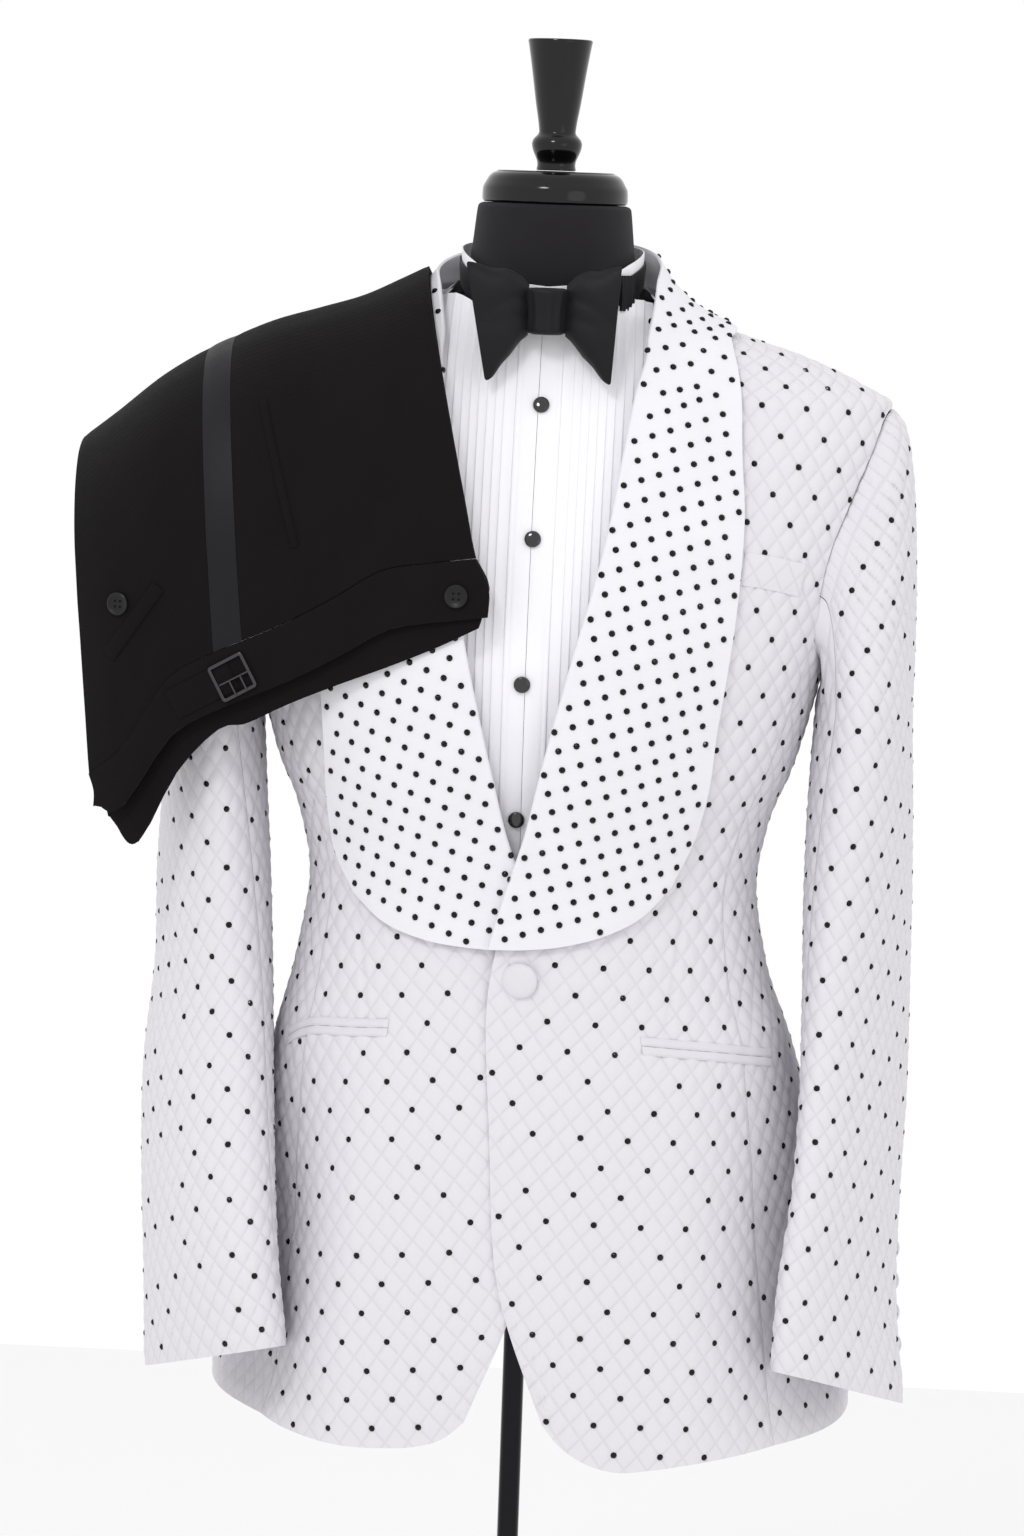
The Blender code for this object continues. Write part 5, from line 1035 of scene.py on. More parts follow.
for side, word in WORDS.items():
    seam = through(around(SIDE_FRONT[side], side), SEAM_ROWS)
    outer = np.vstack([seam, armhole(side)[0][::-1][1:]])
    edge = front(FRONT_EDGE[side], side)
    inner = through(np.vstack([edge, roll_line(side, PANEL_SET_BACK)]), fractions(outer))
    columns = np.linspace(0, 1, 10)
    hem = through(np.vstack([front(HEM_FRONT[side], side), seam[:1]]), columns)
    shoulder = through(around(SHOULDER_SEAM, side), columns)
    panel(f"jacket_front_{word}", patch(hem, shoulder, inner, outer), side, (16, 12), None,
          (0.34, 0.80, 0.132), CREASES[side], right=SEAM_GAP / 2, top=SEAM_GAP / 2)

    behind = through(around(SIDE_BACK, side), SEAM_ROWS)
    under = armhole(side)[1]
    hem = np.linspace(seam[0], behind[0], len(under))
    panel(f"jacket_side_{word}", patch(hem, under, seam, behind), side, (20, 12),
          math.radians(2 if side == LEFT else 178), (0.20, 0.54, 0.091),
          left=SEAM_GAP / 2, right=SEAM_GAP / 2)

    outer = np.vstack([behind, armhole(side)[2][1:]])
    centre = through(around(CENTRE_BACK, side), fractions(outer))
    neck = through(around(BACK_NECK, side), np.linspace(0, 1, 4))
    top = np.vstack([neck, through(around(SHOULDER_SEAM, side), np.linspace(0, 1, 6))[1:]])
    hem = through(np.linspace(centre[0], outer[0], 5), np.linspace(0, 1, len(top)))
    panel(f"jacket_back_{word}", patch(hem, top, centre, outer), side, (16, 12), math.pi / 2,
          (0.27, 0.77, 0.146), left=SEAM_GAP / 2, right=SEAM_GAP / 2, top=SEAM_GAP / 2)


# ---------------------------------------------------------------- sleeves
# Two-part tailored sleeves of the same quilted cloth, eased into the armholes so that the caps
# stand a little full, and hanging with the bend of an arm. The seams run down front and back.

SLEEVE_WALL = 2.0 * MM
SLEEVE = {
    # height, out, depth, half_long, half_short, turn in degrees, tilt
    LEFT: [
        (1.195, 0.2190, 0.004, 0.0790, 0.0310, 86, 0.00),
        (1.130, 0.2195, 0.002, 0.0785, 0.0325, 81, 0.00),
        (1.060, 0.2210, 0.000, 0.0770, 0.0310, 75, 0.00),
        (1.000, 0.2225, -0.008, 0.0755, 0.0265, 70, -0.03),
        (0.930, 0.2230, -0.028, 0.0740, 0.0220, 66, -0.10),
        (0.865, 0.2200, -0.048, 0.0730, 0.0200, 64, -0.18),
        (0.800, 0.2170, -0.063, 0.0710, 0.0210, 59, -0.27),
        (0.749, 0.2200, -0.072, 0.0700, 0.0230, 54, -0.34),
    ],
    RIGHT: [
        (1.195, 0.2175, 0.004, 0.0790, 0.0310, 86, 0.00),
        (1.130, 0.2160, 0.002, 0.0785, 0.0335, 81, 0.00),
        (1.060, 0.2150, 0.000, 0.0770, 0.0360, 75, 0.00),
        (1.000, 0.2125, -0.010, 0.0750, 0.0355, 70, -0.03),
        (0.930, 0.2120, -0.034, 0.0735, 0.0375, 64, -0.10),
        (0.865, 0.2070, -0.056, 0.0720, 0.0355, 60, -0.16),
        (0.800, 0.2015, -0.071, 0.0700, 0.0335, 56, -0.25),
        (0.752, 0.1970, -0.078, 0.0690, 0.0315, 50, -0.32),
    ],
}
CAP_ROWS = 5
TUBE_ROWS = 8
FRONT_SLEEVE_SEAM, BACK_SLEEVE_SEAM = 7, 15  # of the 21 columns round the sleeve
SLEEVE_STEPS = (20, 8)


def sleeve_section(side, height, turn):
    """Points of a sleeve's level section; turn 0 faces out, a quarter turn faces forward."""
    rows = np.array(SLEEVE[side])[::-1]
    out, depth, half_long, half_short, lean, tilt = (smooth(rows[:, (0, k)], height) for k in range(1, 7))
    lean = np.radians(lean)
    long = np.stack([np.cos(lean), np.sin(lean)])
    face = np.stack([np.sin(lean), -np.cos(lean)])
    along, across = -half_long * np.sin(turn), half_short * np.cos(turn)
    x = out + along * long[0] + across * face[0]
    y = depth + along * long[1] + across * face[1]
    return np.stack([side * x, y, height + tilt * along], -1)


def sleeve_grid(side):
    """Middle of the sleeve's wall: rows from the armhole to the cuff."""
    front_line, under, back = armhole(side)
    loop = np.vstack([front_line, under[1:], back[1:-1]])
    seam = surface(loop[:, 0], loop[:, 1], JACKET_WALL / 2)
    inward = (seam.mean(axis=0) - seam) * (0, 1, 1)
    inward /= np.linalg.norm(inward, axis=1, keepdims=True)
    seam = seam + inward * (SEAM_GAP + SLEEVE_WALL / 2 + 0.8 * MM)
    turn = np.arange(len(seam)) * 2 * math.pi / len(seam)
    top_height = SLEEVE[side][0][0]
    first = sleeve_section(side, np.full(len(turn), top_height), turn)
    reach = np.linalg.norm(first - seam, axis=1, keepdims=True)
    leave = np.array([[side, 0, 0.0]]) * (0.24 * reach + 12 * MM)
    arrive = np.array([[0, 0, -1.0]]) * 1.15 * reach
    rows = [(2 * t**3 - 3 * t**2 + 1) * seam + (t**3 - 2 * t**2 + t) * leave
            + (3 * t**2 - 2 * t**3) * first + (t**3 - t**2) * arrive
            for t in np.linspace(0, 1, CAP_ROWS + 1)[:-1]]
    rows += [sleeve_section(side, np.full(len(turn), height), turn)
             for height in np.linspace(top_height, SLEEVE[side][-1][0], TUBE_ROWS)]
    return np.array(rows)


for side, word in WORDS.items():
    grid = finer(finer(sleeve_grid(side), SLEEVE_STEPS[0]), SLEEVE_STEPS[1], axis=1, ring=True)
    normal = normals(grid, ring=True)
    normal *= np.sign(np.sum(normal[-1, 0] * (side, 0, 0)))
    count = grid.shape[1]
    first, last = (seam * SLEEVE_STEPS[1] for seam in (FRONT_SLEEVE_SEAM, BACK_SLEEVE_SEAM))
    for part, span, cut in (("under", range(first, last + 1), (0.22, 0.56, 0.077)),
                            ("top", range(last, first + count + 1), (0.30, 0.66, 0.128))):
        columns = [c % count for c in span]
        middle, out = grid[:, columns], normal[:, columns]
        # Cloth places: across along each row from the middle column, and up that column.
        half = len(columns) // 2
        steps = np.linalg.norm(np.diff(middle[..., :2], axis=1), axis=-1)
        across = np.concatenate([np.zeros((len(middle), 1)), np.cumsum(steps, axis=1)], axis=1)
        spine = middle[:, half]
        along = np.concatenate([[0], np.cumsum(np.linalg.norm(np.diff(spine, axis=0), axis=1))])
        up = (along[-1] - along)[:, None] + 0 * across
        if part == "top":
            cap = CAP_ROWS * SLEEVE_STEPS[0]
            order = np.argsort(spine[:cap + 1, 2])
            up[:cap] = np.interp(middle[:cap, :, 2], spine[order, 2], up[order, half])
            # Across the cap: level distance from the middle column, eased to the tube's girth.
            level = np.stack([np.interp(middle[:cap + 1, :, 2], spine[order, 2], spine[order, k])
                              for k in (0, 1)], -1)
            chord = np.linalg.norm(middle[:cap + 1, :, :2] - level, axis=-1)
            girths = np.abs(across[cap] - across[cap, half]) / np.maximum(chord[cap], 1 * MM)
            sides = np.sign(np.arange(len(columns)) - half)
            across[:cap] = across[:cap, half:half + 1] + sides * chord[:cap] * girths
        name = f"sleeve_{part}_{word}"
        uv = laid(name, np.stack([across - across[:, half:half + 1], up], -1))
        soft = edge_fade(middle.shape[:2], 2.5)
        relief = (QUILT_RISE * (quilting(uv) - 0.35) * soft - 0.5 * MM * (1 - soft))[..., None]
        edges = {"left": 0.3 * MM, "right": 0.3 * MM}
        outer = inset(middle + out * (SLEEVE_WALL / 2 + relief), **edges)
        made = shell(name, outer, inset(middle - out * SLEEVE_WALL / 2, **edges), quilt, uv, skip=4)
        settle(made, "quilted_ivory_cloth", name)
        studded[name] = (outer, uv, edge_fade(middle.shape[:2], 2.0) > 0.5)


# ---------------------------------------------------------------- shawl lapels and collar
# One piece of smooth ivory barathea on each side, faced and interlined, joined at the centre back.
# Its roll stands off the jacket, and its outer edge is turned under and pressed.

LAPEL_WALL = 2.0 * MM
LAPEL_LIFT = JACKET_WALL + 3.8 * MM  # underside of the lapel above the body surface
LAPEL_EDGE = {  # lower edge from the bottom of the roll to the round of the corner
    LEFT: [(-0.0185, 1.0435), (0.003, 1.0445), (0.021, 1.0465), (0.039, 1.051), (0.056, 1.0565),
           (0.071, 1.0645), (0.081, 1.0745), (0.092, 1.0870)],
    RIGHT: [(0.0195, 1.0435), (-0.017, 1.0430), (-0.039, 1.0440), (-0.052, 1.0450), (-0.067, 1.0480),
            (-0.083, 1.053), (-0.094, 1.0600), (-0.1075, 1.0720)],
}
LAPEL_OUTER = {
    LEFT: [(0.092, 1.0870), (0.100, 1.100), (0.108, 1.126), (0.113, 1.146), (0.118, 1.189),
           (0.124, 1.232), (0.1275, 1.262), (0.1305, 1.300), (0.131, 1.343), (0.128, 1.378),
           (0.1245, 1.408), (0.1180, 1.4330)],
    RIGHT: [(-0.1075, 1.0720), (-0.118, 1.0900), (-0.123, 1.108), (-0.1265, 1.131), (-0.129, 1.163),
            (-0.132, 1.200), (-0.1350, 1.250), (-0.1370, 1.300), (-0.1365, 1.343), (-0.134, 1.378),
            (-0.1290, 1.408), (-0.1210, 1.4330)],
}
COLLAR_OUTER = [(-14, 1.4400), (2, 1.4430), (30, 1.4440), (60, 1.4450), (90, 1.4460)]
RISE = {  # how the fold line stands above the neck seam, and how far it draws in, in mm
    LEFT: [(-61, 0.0, 0.0), (-44, 5.0, 1.5), (-24, 14.0, 6.5), (2, 20.5, 9.0), (45, 28.0, 4.0),
           (90, 31.0, -5.0)],
    RIGHT: [(-61, 0.0, 0.0), (-44, 3.5, 1.0), (-24, 9.0, 4.0), (2, 13.5, 6.0), (45, 22.0, 3.0),
            (90, 31.0, -5.0)],  # pressed down by the trousers
}
LAPEL_ROWS = 25
LAPEL_SHARES = (0.0, 0.05, 0.18, 0.36, 0.57, 0.79, 1.0)  # from the roll to the outer edge

# Wool barathea: a fine close broken rib, pale ivory and soft, lit more evenly than the quilting.
barathea, tree, shader = finish("ivory_barathea", "eae9ee", 0.80, Specular_IOR_Level=0.3)
cloth = node(tree, "UVMap", {}, uv_map="cloth")
tint = vary_colour(tree, shader, noise(tree, cloth, 0.03, 4.0), "e1e0e5", "e9e8ed")
tree.links.new(weave(tree, cloth, 0.9 * MM, 0.16, 0.12 * MM, twill=True), shader["Normal"])


def lapel_grid(side):
    """Middle of the lapel's wall, rows up from the bottom and round to the centre back, and the
    (angle, height) place of each point."""
    roll = np.vstack([roll_line(side), around(BACK_NECK, side)[::-1][1:]])
    outer = np.vstack([front(LAPEL_OUTER[side], side), around(COLLAR_OUTER, side)])
    rows = np.linspace(0, 1, LAPEL_ROWS)
    left, right = through(roll, rows), through(outer, rows)
    shares = np.array(LAPEL_SHARES)
    bottom = through(front(LAPEL_EDGE[side], side), shares)
    top = left[-1] + (right[-1] - left[-1]) * shares[:, None]
    grid = patch(bottom, top, left, right)
    angle, height = grid[..., 0], grid[..., 1]
    middle = surface(angle, height, jacket_lift(angle, height, side) + LAPEL_LIFT + LAPEL_WALL / 2)
    turn = np.degrees(left[:, 0] if side == LEFT else math.pi - left[:, 0])
    rise, draw_in = (smooth([(r[0], r[k]) for r in RISE[side]], turn)[:, None] * MM for k in (1, 2))
    flat = middle[:, 0] * (1, 1, 0)
    radial = flat / np.linalg.norm(flat, axis=1, keepdims=True)
    fade = ((1 - shares) ** 3)[None, :, None]
    lifted = middle + fade * (rise[:, None] * (0, 0, 1) - draw_in[:, None] * radial[:, None])
    # The cloth turns under at the roll, and stands up from the neck seam at the back.
    fold, seam = lifted[:, 0], middle[:, 0] + (0, 0, 1.0 * MM)
    away = lifted[:, 1] - fold
    away /= np.linalg.norm(away, axis=1, keepdims=True)
    normal = facing(left[:, 0], left[:, 1])
    stand = ease_in_out(rise / 0.010)
    turned_under = fold - normal * (LAPEL_LIFT - 0.2 * MM) + away * 1.0 * MM
    under = (1 - stand) * turned_under + stand * seam
    between = 0.5 * (fold + under) - (1 - stand) * 0.5 * MM * away - stand * 1.5 * MM * radial
    place = np.concatenate([grid[:, :1], grid[:, :1], grid], axis=1)
    return np.concatenate([under[:, None], between[:, None], lifted], axis=1), place


for side, word in WORDS.items():
    grid, place = (finer(finer(g, 12), 8, axis=1) for g in lapel_grid(side))
    normal = normals(grid)
    if normal[len(grid) // 3, 40, 1] > 0:
        normal = -normal
    uv = cloth_place(place[..., 0], place[..., 1], math.radians(-90 if side == LEFT else 270)) - (0, 0.30)
    pressed = edge_fade(grid.shape[:2], 3.0)[..., None]
    name = f"lapel_{word}"
    edges = {"top": SEAM_GAP / 2}
    outer = inset(grid + normal * (LAPEL_WALL / 2 - 0.35 * MM * (1 - pressed)), **edges)
    made = shell(name, outer, inset(grid - normal * LAPEL_WALL / 2, **edges), barathea, uv, skip=4)
    settle(made, "ivory_lapel_cloth", name)
    studded[name] = (outer, uv, edge_fade(grid.shape[:2], 3.0) > 0.5)


# ---------------------------------------------------------------- pockets
# Each hip pocket is a slit bound by two narrow jets of the smooth cloth, pressed round. The chest
# pocket has one upright welt of the quilted cloth, sewn down at both ends.

# The lapels' barathea again, for bindings and buttons: a shade deeper, to go with the quilting.
binding = barathea.copy()
binding.name = "ivory_binding_cloth"
for element, shade in zip(binding.node_tree.nodes[tint.name].color_ramp.elements, ("d6d4d9", "dedce1")):
    element.color = linear(shade)

JET_HEIGHT = 5.6 * MM
JET_WALL = 1.2 * MM
HIP_POCKET = {  # x and height of the slit's middle; its back end passes round under the sleeve
    LEFT: [(0.080, 0.9835), (0.115, 0.9790), (0.145, 0.9735)],
    RIGHT: [(-0.0840, 0.9870), (-0.110, 0.9838), (-0.138, 0.9790)],
}
HIP_POCKET_END = (-24, 0.9670)
WELT = [(0.1325, 1.2950), (0.150, 1.2925), (0.1715, 1.2870)]  # the chest pocket's middle line
WELT_HEIGHT = 21 * MM


def laid_on(tree, points, inward, gap):
    """Points moved along their inward directions onto the faces, and the way out from each."""
    placed, out = [], []
    for point, direction in zip(points.reshape(-1, 3), inward.reshape(-1, 3)):
        start, direction = Vector(point), Vector(direction).normalized()
        hit, normal, _, _ = tree.ray_cast(start - 0.06 * direction, direction)
        if hit is None:  # over a seam
            near, normal, _, _ = tree.find_nearest(start)
            hit = start + direction * (near - start).dot(direction)
        if normal.dot(direction) > 0:
            normal = -normal
        placed.append(np.array(hit + gap * normal))
        out.append(np.array(normal))
    return np.array(placed).reshape(points.shape), np.array(out).reshape(points.shape)


def even(grid, turns):
    """A grid evened out along its rows and columns, so that it lies over small lumps."""
    for _ in range(turns):
        for axis in (0, 1):
            near = np.take(grid, [0, *range(grid.shape[axis] - 1)], axis)
            far = np.take(grid, [*range(1, grid.shape[axis]), -1], axis)
            ends = (np.arange(grid.shape[axis]) % (grid.shape[axis] - 1) == 0)
            share = np.where(ends, 0.0, 0.5).reshape(-1, 1, 1) if axis == 0 else \
                np.where(ends, 0.0, 0.5).reshape(1, -1, 1)
            grid = (1 - share) * grid + share * 0.5 * (near + far)
    return grid


def laid_cloth(name, tree, points, inward, thickness, material, gap, turns):
    """A strip of cloth lying on others, its edges turned under, from a grid of points near them."""
    under, out = laid_on(tree, points, inward, gap)
    under, out = even(under, turns), even(out, 2 * turns)
    soft = edge_fade(points.shape[:2], 2.0)[..., None]
    place = np.cumsum(np.linalg.norm(np.diff(points, axis=1, prepend=points[:, :1]), axis=-1), axis=1)
    rise = np.cumsum(np.linalg.norm(np.diff(points, axis=0, prepend=points[:1]), axis=-1), axis=0)
    return shell(name, under + thickness * (0.30 + 0.70 * soft) * out, under, material,
                 np.stack([place, rise], -1))


def band_on_body(name, tree, line, half_height, columns, gap, material=binding):
    """A band of cloth laid on the jacket, half_height to each side of its middle line."""
    middle = through(line, np.linspace(0, 1, columns))
    place = np.array([middle + (0, level) for level in np.linspace(-half_height, half_height, 9)])
    inward = -facing(place[..., 0], place[..., 1])
    points = surface(place[..., 0], place[..., 1], 0.0)
    return laid_cloth(name, tree, points, inward, JET_WALL, material, gap, 12)


for side, word in WORDS.items():
    tree = resting_tree((f"jacket_front_{word}", f"jacket_side_{word}"))
    line = np.vstack([front(HIP_POCKET[side], side), around([HIP_POCKET_END], side)])
    for place, step in (("upper", 1), ("lower", -1)):
        name = f"hip_pocket_{word}_{place}_jet"
        made = band_on_body(name, tree, line + (0, step * (JET_HEIGHT + SEAM_GAP) / 2), JET_HEIGHT / 2, 61,
                            0.30 * MM)
        settle(made, "quilted_ivory_cloth", name)
    if side == LEFT:
        made = band_on_body("chest_pocket_welt", tree, front(WELT), WELT_HEIGHT / 2, 41, 0.30 * MM, quilt)
        settle(made, "quilted_ivory_cloth", "chest_pocket_welt")


# ---------------------------------------------------------------- buttons of the jacket
# Moulded domes covered in the ivory cloth, gathered at the back: one large one closes the front,
# and four smaller ones sit beside each other up every cuff.

FRONT_BUTTON = (0.001, 1.0250)
FRONT_BUTTON_RADIUS = 11.8 * MM
CUFF_BUTTON_RADIUS = 9.2 * MM
CUFF_BUTTONS = 4
CUFF_BUTTON_STEP = 19.2 * MM
CUFF_BUTTON_ABOVE_HEM = 34 * MM
CUFF_BUTTON_TURN = 266  # degrees round the sleeve from its outer face


def covered(name, radius, seat):
    """A cloth-covered button on its seat."""
    dome = [(0.80, 0.0), (0.95, 0.03), (1.0, 0.13), (0.98, 0.22), (0.88, 0.33), (0.68, 0.42), (0.40, 0.475),
            (0.12, 0.49)]
    made = turned(name, finer(np.array(dome) * radius, 3), 48, binding, sharp=60)
    uv = made.data.uv_layers.new(name="cloth")
    for loop in made.data.loops:
        uv.data[loop.index].uv = made.data.vertices[loop.vertex_index].co.xy
    made.data.transform(seat)
    return settle(made, "quilted_ivory_cloth", name)


angle, height = front([FRONT_BUTTON])[0]
outer, inner = (surface(angle, height, lift) for lift in (0.01, 0.0))
covered("front_button", FRONT_BUTTON_RADIUS,
        seat_on(resting_tree(("jacket_front_left",)), inner, inner - outer))
for side, word in WORDS.items():
    tree = resting_tree((f"sleeve_top_{word}", f"sleeve_under_{word}"))
    turn = math.radians(CUFF_BUTTON_TURN)
    for number in range(CUFF_BUTTONS):
        level = SLEEVE[side][-1][0] + CUFF_BUTTON_ABOVE_HEM + number * CUFF_BUTTON_STEP
        here, on_way, above = (sleeve_section(side, np.array(level + up), np.array(turn + more))
                               for up, more in ((0, 0), (0, 0.05), (0.004, 0)))
        out = np.cross(on_way - here, above - here)
        out *= np.sign(out[1])
        covered(f"cuff_button_{word}_{number + 1}", CUFF_BUTTON_RADIUS, seat_on(tree, here, -out, 0.6 * MM))


# ---------------------------------------------------------------- trousers over the shoulder
# Dress trousers of black wool barathea, with a satin stripe down the side seam. They are folded
# along the creases and again at the knee, and hang over the wearer's right shoulder.

TROUSER_WALL = 1.4 * MM
TROUSERS = np.array([
    # top_x, top, near_x, near, far_x, far, thick in mm
    (-0.0795, 1.4790, -0.0270, 1.2610, -0.0330, 1.2540, 3.6),
    (-0.0970, 1.4700, -0.0580, 1.2565, -0.0600, 1.2400, 4.2),
    (-0.1220, 1.4580, -0.0900, 1.2500, -0.0920, 1.2255, 5.0),
    (-0.1500, 1.4490, -0.1220, 1.2310, -0.1240, 1.2120, 6.2),
    (-0.1790, 1.4400, -0.1540, 1.2135, -0.1560, 1.1975, 7.5),
    (-0.2040, 1.4290, -0.1810, 1.2010, -0.1830, 1.1835, 8.6),
    (-0.2210, 1.4205, -0.2000, 1.1920, -0.2020, 1.1780, 9.2),
    (-0.2500, 1.4020, -0.2300, 1.1730, -0.2290, 1.1480, 9.6),
    (-0.2800, 1.3770, -0.2600, 1.1250, -0.2540, 1.1000, 9.6),
    (-0.3030, 1.3590, -0.2800, 1.1060, -0.2750, 1.0990, 9.0),
])
STRIPE_COLUMNS = (5, 6)
WAISTBAND_HEIGHT = 37 * MM
KNEE_FOLD = 1.185  # height of the fold behind
ARCH_FRONT = [  # x, depth of the hanging front, and the height over which the cloth arches to it
    (-0.310, 0.062, 0.080), (-0.260, 0.092, 0.100), (-0.200, 0.106, 0.140), (-0.140, 0.117, 0.190),
    (-0.080, 0.130, 0.235), (-0.020, 0.137, 0.250),
]
ARCH_BACK = [
    (-0.310, 0.060, 0.080), (-0.250, 0.092, 0.100), (-0.180, 0.104, 0.140), (-0.120, 0.118, 0.190),
    (-0.070, 0.124, 0.235), (-0.020, 0.124, 0.250),
]
FRONT_DROPS = np.linspace(0, 1, 9)[1:] ** 1.7  # rows from the top of the fold to the waistband
BACK_DROPS = np.linspace(0, 1, 8)[1:] ** 1.7
FINE = 12
LAYERS = 5  # folded layers that show at the edges
TROUSER_CREASES = [  # (x, height) ends, half width in mm, depth in mm
    ((-0.052, 1.262), (-0.090, 1.400), 5.0, 0.7),
]

# Black wool barathea: matt, with a low warm grey sheen where it turns away and a fine broken rib.
wool, tree, shader = finish("black_wool_barathea", "110f0f", 0.88, Specular_IOR_Level=0.12,
                            Sheen_Weight=0.035, Sheen_Roughness=0.4)
cloth = node(tree, "UVMap", {}, uv_map="cloth")
vary_colour(tree, shader, noise(tree, cloth, 0.04, 5.0), "0e0c0c", "141112")
tree.links.new(weave(tree, cloth, 1.0 * MM, 0.30, 0.2 * MM, twill=True), shader["Normal"])


def trouser_depth(x, height, top, behind):
    """How far in front of or behind the shoulder the cloth's under side hangs."""
    rows = ARCH_BACK if behind else ARCH_FRONT
    deep, arch = smooth([r[:2] for r in rows], x), smooth([(r[0], r[2]) for r in rows], x)
    rise = np.clip((height - top + arch) / arch, 0, 1)
    hang = deep * np.sqrt(1 - rise ** 2)
    half, front_depth, back_depth, power, shift = (smooth(BODY[:, (0, k)], height) for k in range(1, 6))
    room = (5.9 if behind else 8.4) * MM
    across = np.clip(np.abs(x - shift) / (half + room), 0, 1)
    body = ((back_depth if behind else front_depth) + room) * (1 - across ** power) ** (1 / power)
    return np.maximum(hang, body)


def trouser_grid():
    """Under side of the folded trousers: rows from the near waist edge, over the top, to the knee."""
    top_x, top, near_x, near, far_x, far, thick = TROUSERS.T
    top = top - thick * MM
    rows = [(edge_x, edge + (1 - share) * WAISTBAND_HEIGHT, False)
            for edge_x, edge, share in ((far_x, far, 1.0), (near_x, near, 1.0), (near_x, near, 0.5))]
    band_top = near + WAISTBAND_HEIGHT
    lean = (near_x - top_x) / (top - near)
    band_x = near_x - lean * WAISTBAND_HEIGHT
    rows += [(top_x + drop * (band_x - top_x), top + drop * (band_top - top), False)
             for drop in FRONT_DROPS[::-1]]
    rows.append((top_x, top, False))
    rows += [(top_x + drop * 0.03 * (top_x + 0.19), top + drop * (KNEE_FOLD - top), True)
             for drop in BACK_DROPS]
    grid = []
    for x, height, behind in rows:
        deep = trouser_depth(x, np.minimum(height, top), top, behind)
        grid.append(np.stack([x, deep if behind else -deep, height], -1))
    return np.array(grid)


def cloth_of(grid):
    """Flat cloth places of a grid, by the mean length of its rows and columns."""
    across = np.linalg.norm(np.diff(grid, axis=1, prepend=grid[:, :1]), axis=-1).mean(axis=0)
    up = np.linalg.norm(np.diff(grid, axis=0, prepend=grid[:1]), axis=-1).mean(axis=1)
    zero = 0 * grid[..., 0]
    return np.stack([np.cumsum(across)[None] + zero, np.cumsum(up)[:, None] + zero], -1)


def layered(name, layers, material, uv):
    """A slab from grids of points stacked through its thickness, closed round the rim."""
    rows, columns = layers[0].shape[:2]
    index = np.arange(rows * columns).reshape(rows, columns)
    rim = np.concatenate([index[0, :-1], index[:-1, -1], index[-1, :0:-1], index[:0:-1, 0]])
    points = [layers[0].reshape(-1, 3)]
    flat = [uv.reshape(-1, 2), uv.reshape(-1, 2)]
    faces = quads(index)[:, ::-1].tolist() + (quads(index) + rows * columns).tolist()
    points.append(layers[-1].reshape(-1, 3))
    rings = [rim]
    start = 2 * rows * columns
    for number, layer in enumerate(layers[1:-1]):
        rings.append(np.arange(len(rim)) + start)
        points.append(layer.reshape(-1, 3)[rim])
        flat.append(uv.reshape(-1, 2)[rim] + (0, number * 0.3 * MM))
        start += len(rim)
    rings.append(rim + rows * columns)
    for low, high in zip(rings, rings[1:]):
        low, high = np.append(low, low[0]), np.append(high, high[0])
        faces += np.stack([low[:-1], low[1:], high[1:], high[:-1]], -1).tolist()
    return skin(name, np.concatenate(points), faces, material, np.concatenate(flat), 60)


coarse = trouser_grid()
grid = finer(finer(coarse, FINE), FINE, axis=1)
normal = normals(grid)
if normal[5 * FINE, 4 * FINE, 1] > 0:
    normal = -normal
thick = (finer(TROUSERS[:, 6], FINE) * MM)[None, :, None]
core = slice(3 * FINE, None)
relief = folds(grid, TROUSER_CREASES)[..., None]
layers = []
for share in np.linspace(0, 1, 6 * LAYERS + 1):
    pull = (0.25 + 1.5 * (1 - np.abs(np.sin(math.pi * LAYERS * share)) ** 0.5)) * MM
    level = grid + (0.3 * MM + share * (thick - 0.3 * MM)) * normal
    layers.append(inset(level[core][::2, ::2], pull, pull, pull, pull))  # coarser than its covers
made = layered("trousers_fold", layers, wool, cloth_of(grid[core][::2, ::2]))
settle(made, "black_wool", "trousers_fold")
seam = SEAM_GAP / 2
for name, columns, material, slot, cut in (
    ("trousers_front_left", slice(0, STRIPE_COLUMNS[0] * FINE + 1), wool, "black_wool", (0.16, 0.50, 0.078)),
    ("trousers_stripe", slice(STRIPE_COLUMNS[0] * FINE, STRIPE_COLUMNS[1] * FINE + 1), satin, "black_satin",
     (0.025, 0.50, 0.011)),
    ("trousers_back_left", slice(STRIPE_COLUMNS[1] * FINE, None), wool, "black_wool", (0.12, 0.50, 0.052)),
):
    edges = {"bottom": seam, "left": seam, "right": seam}
    piece = grid[core, columns]
    soft = edge_fade(piece.shape[:2], 3.0)[..., None]
    base = piece + (thick + SEAM_GAP)[:, columns] * normal[core, columns]
    top_face = base + (TROUSER_WALL - 0.35 * MM * (1 - soft) + relief[core, columns]) * normal[core, columns]
    made = shell(name, inset(top_face, **edges), inset(base, **edges), material, cloth_of(piece), skip=4)
    settle(made, slot, name)

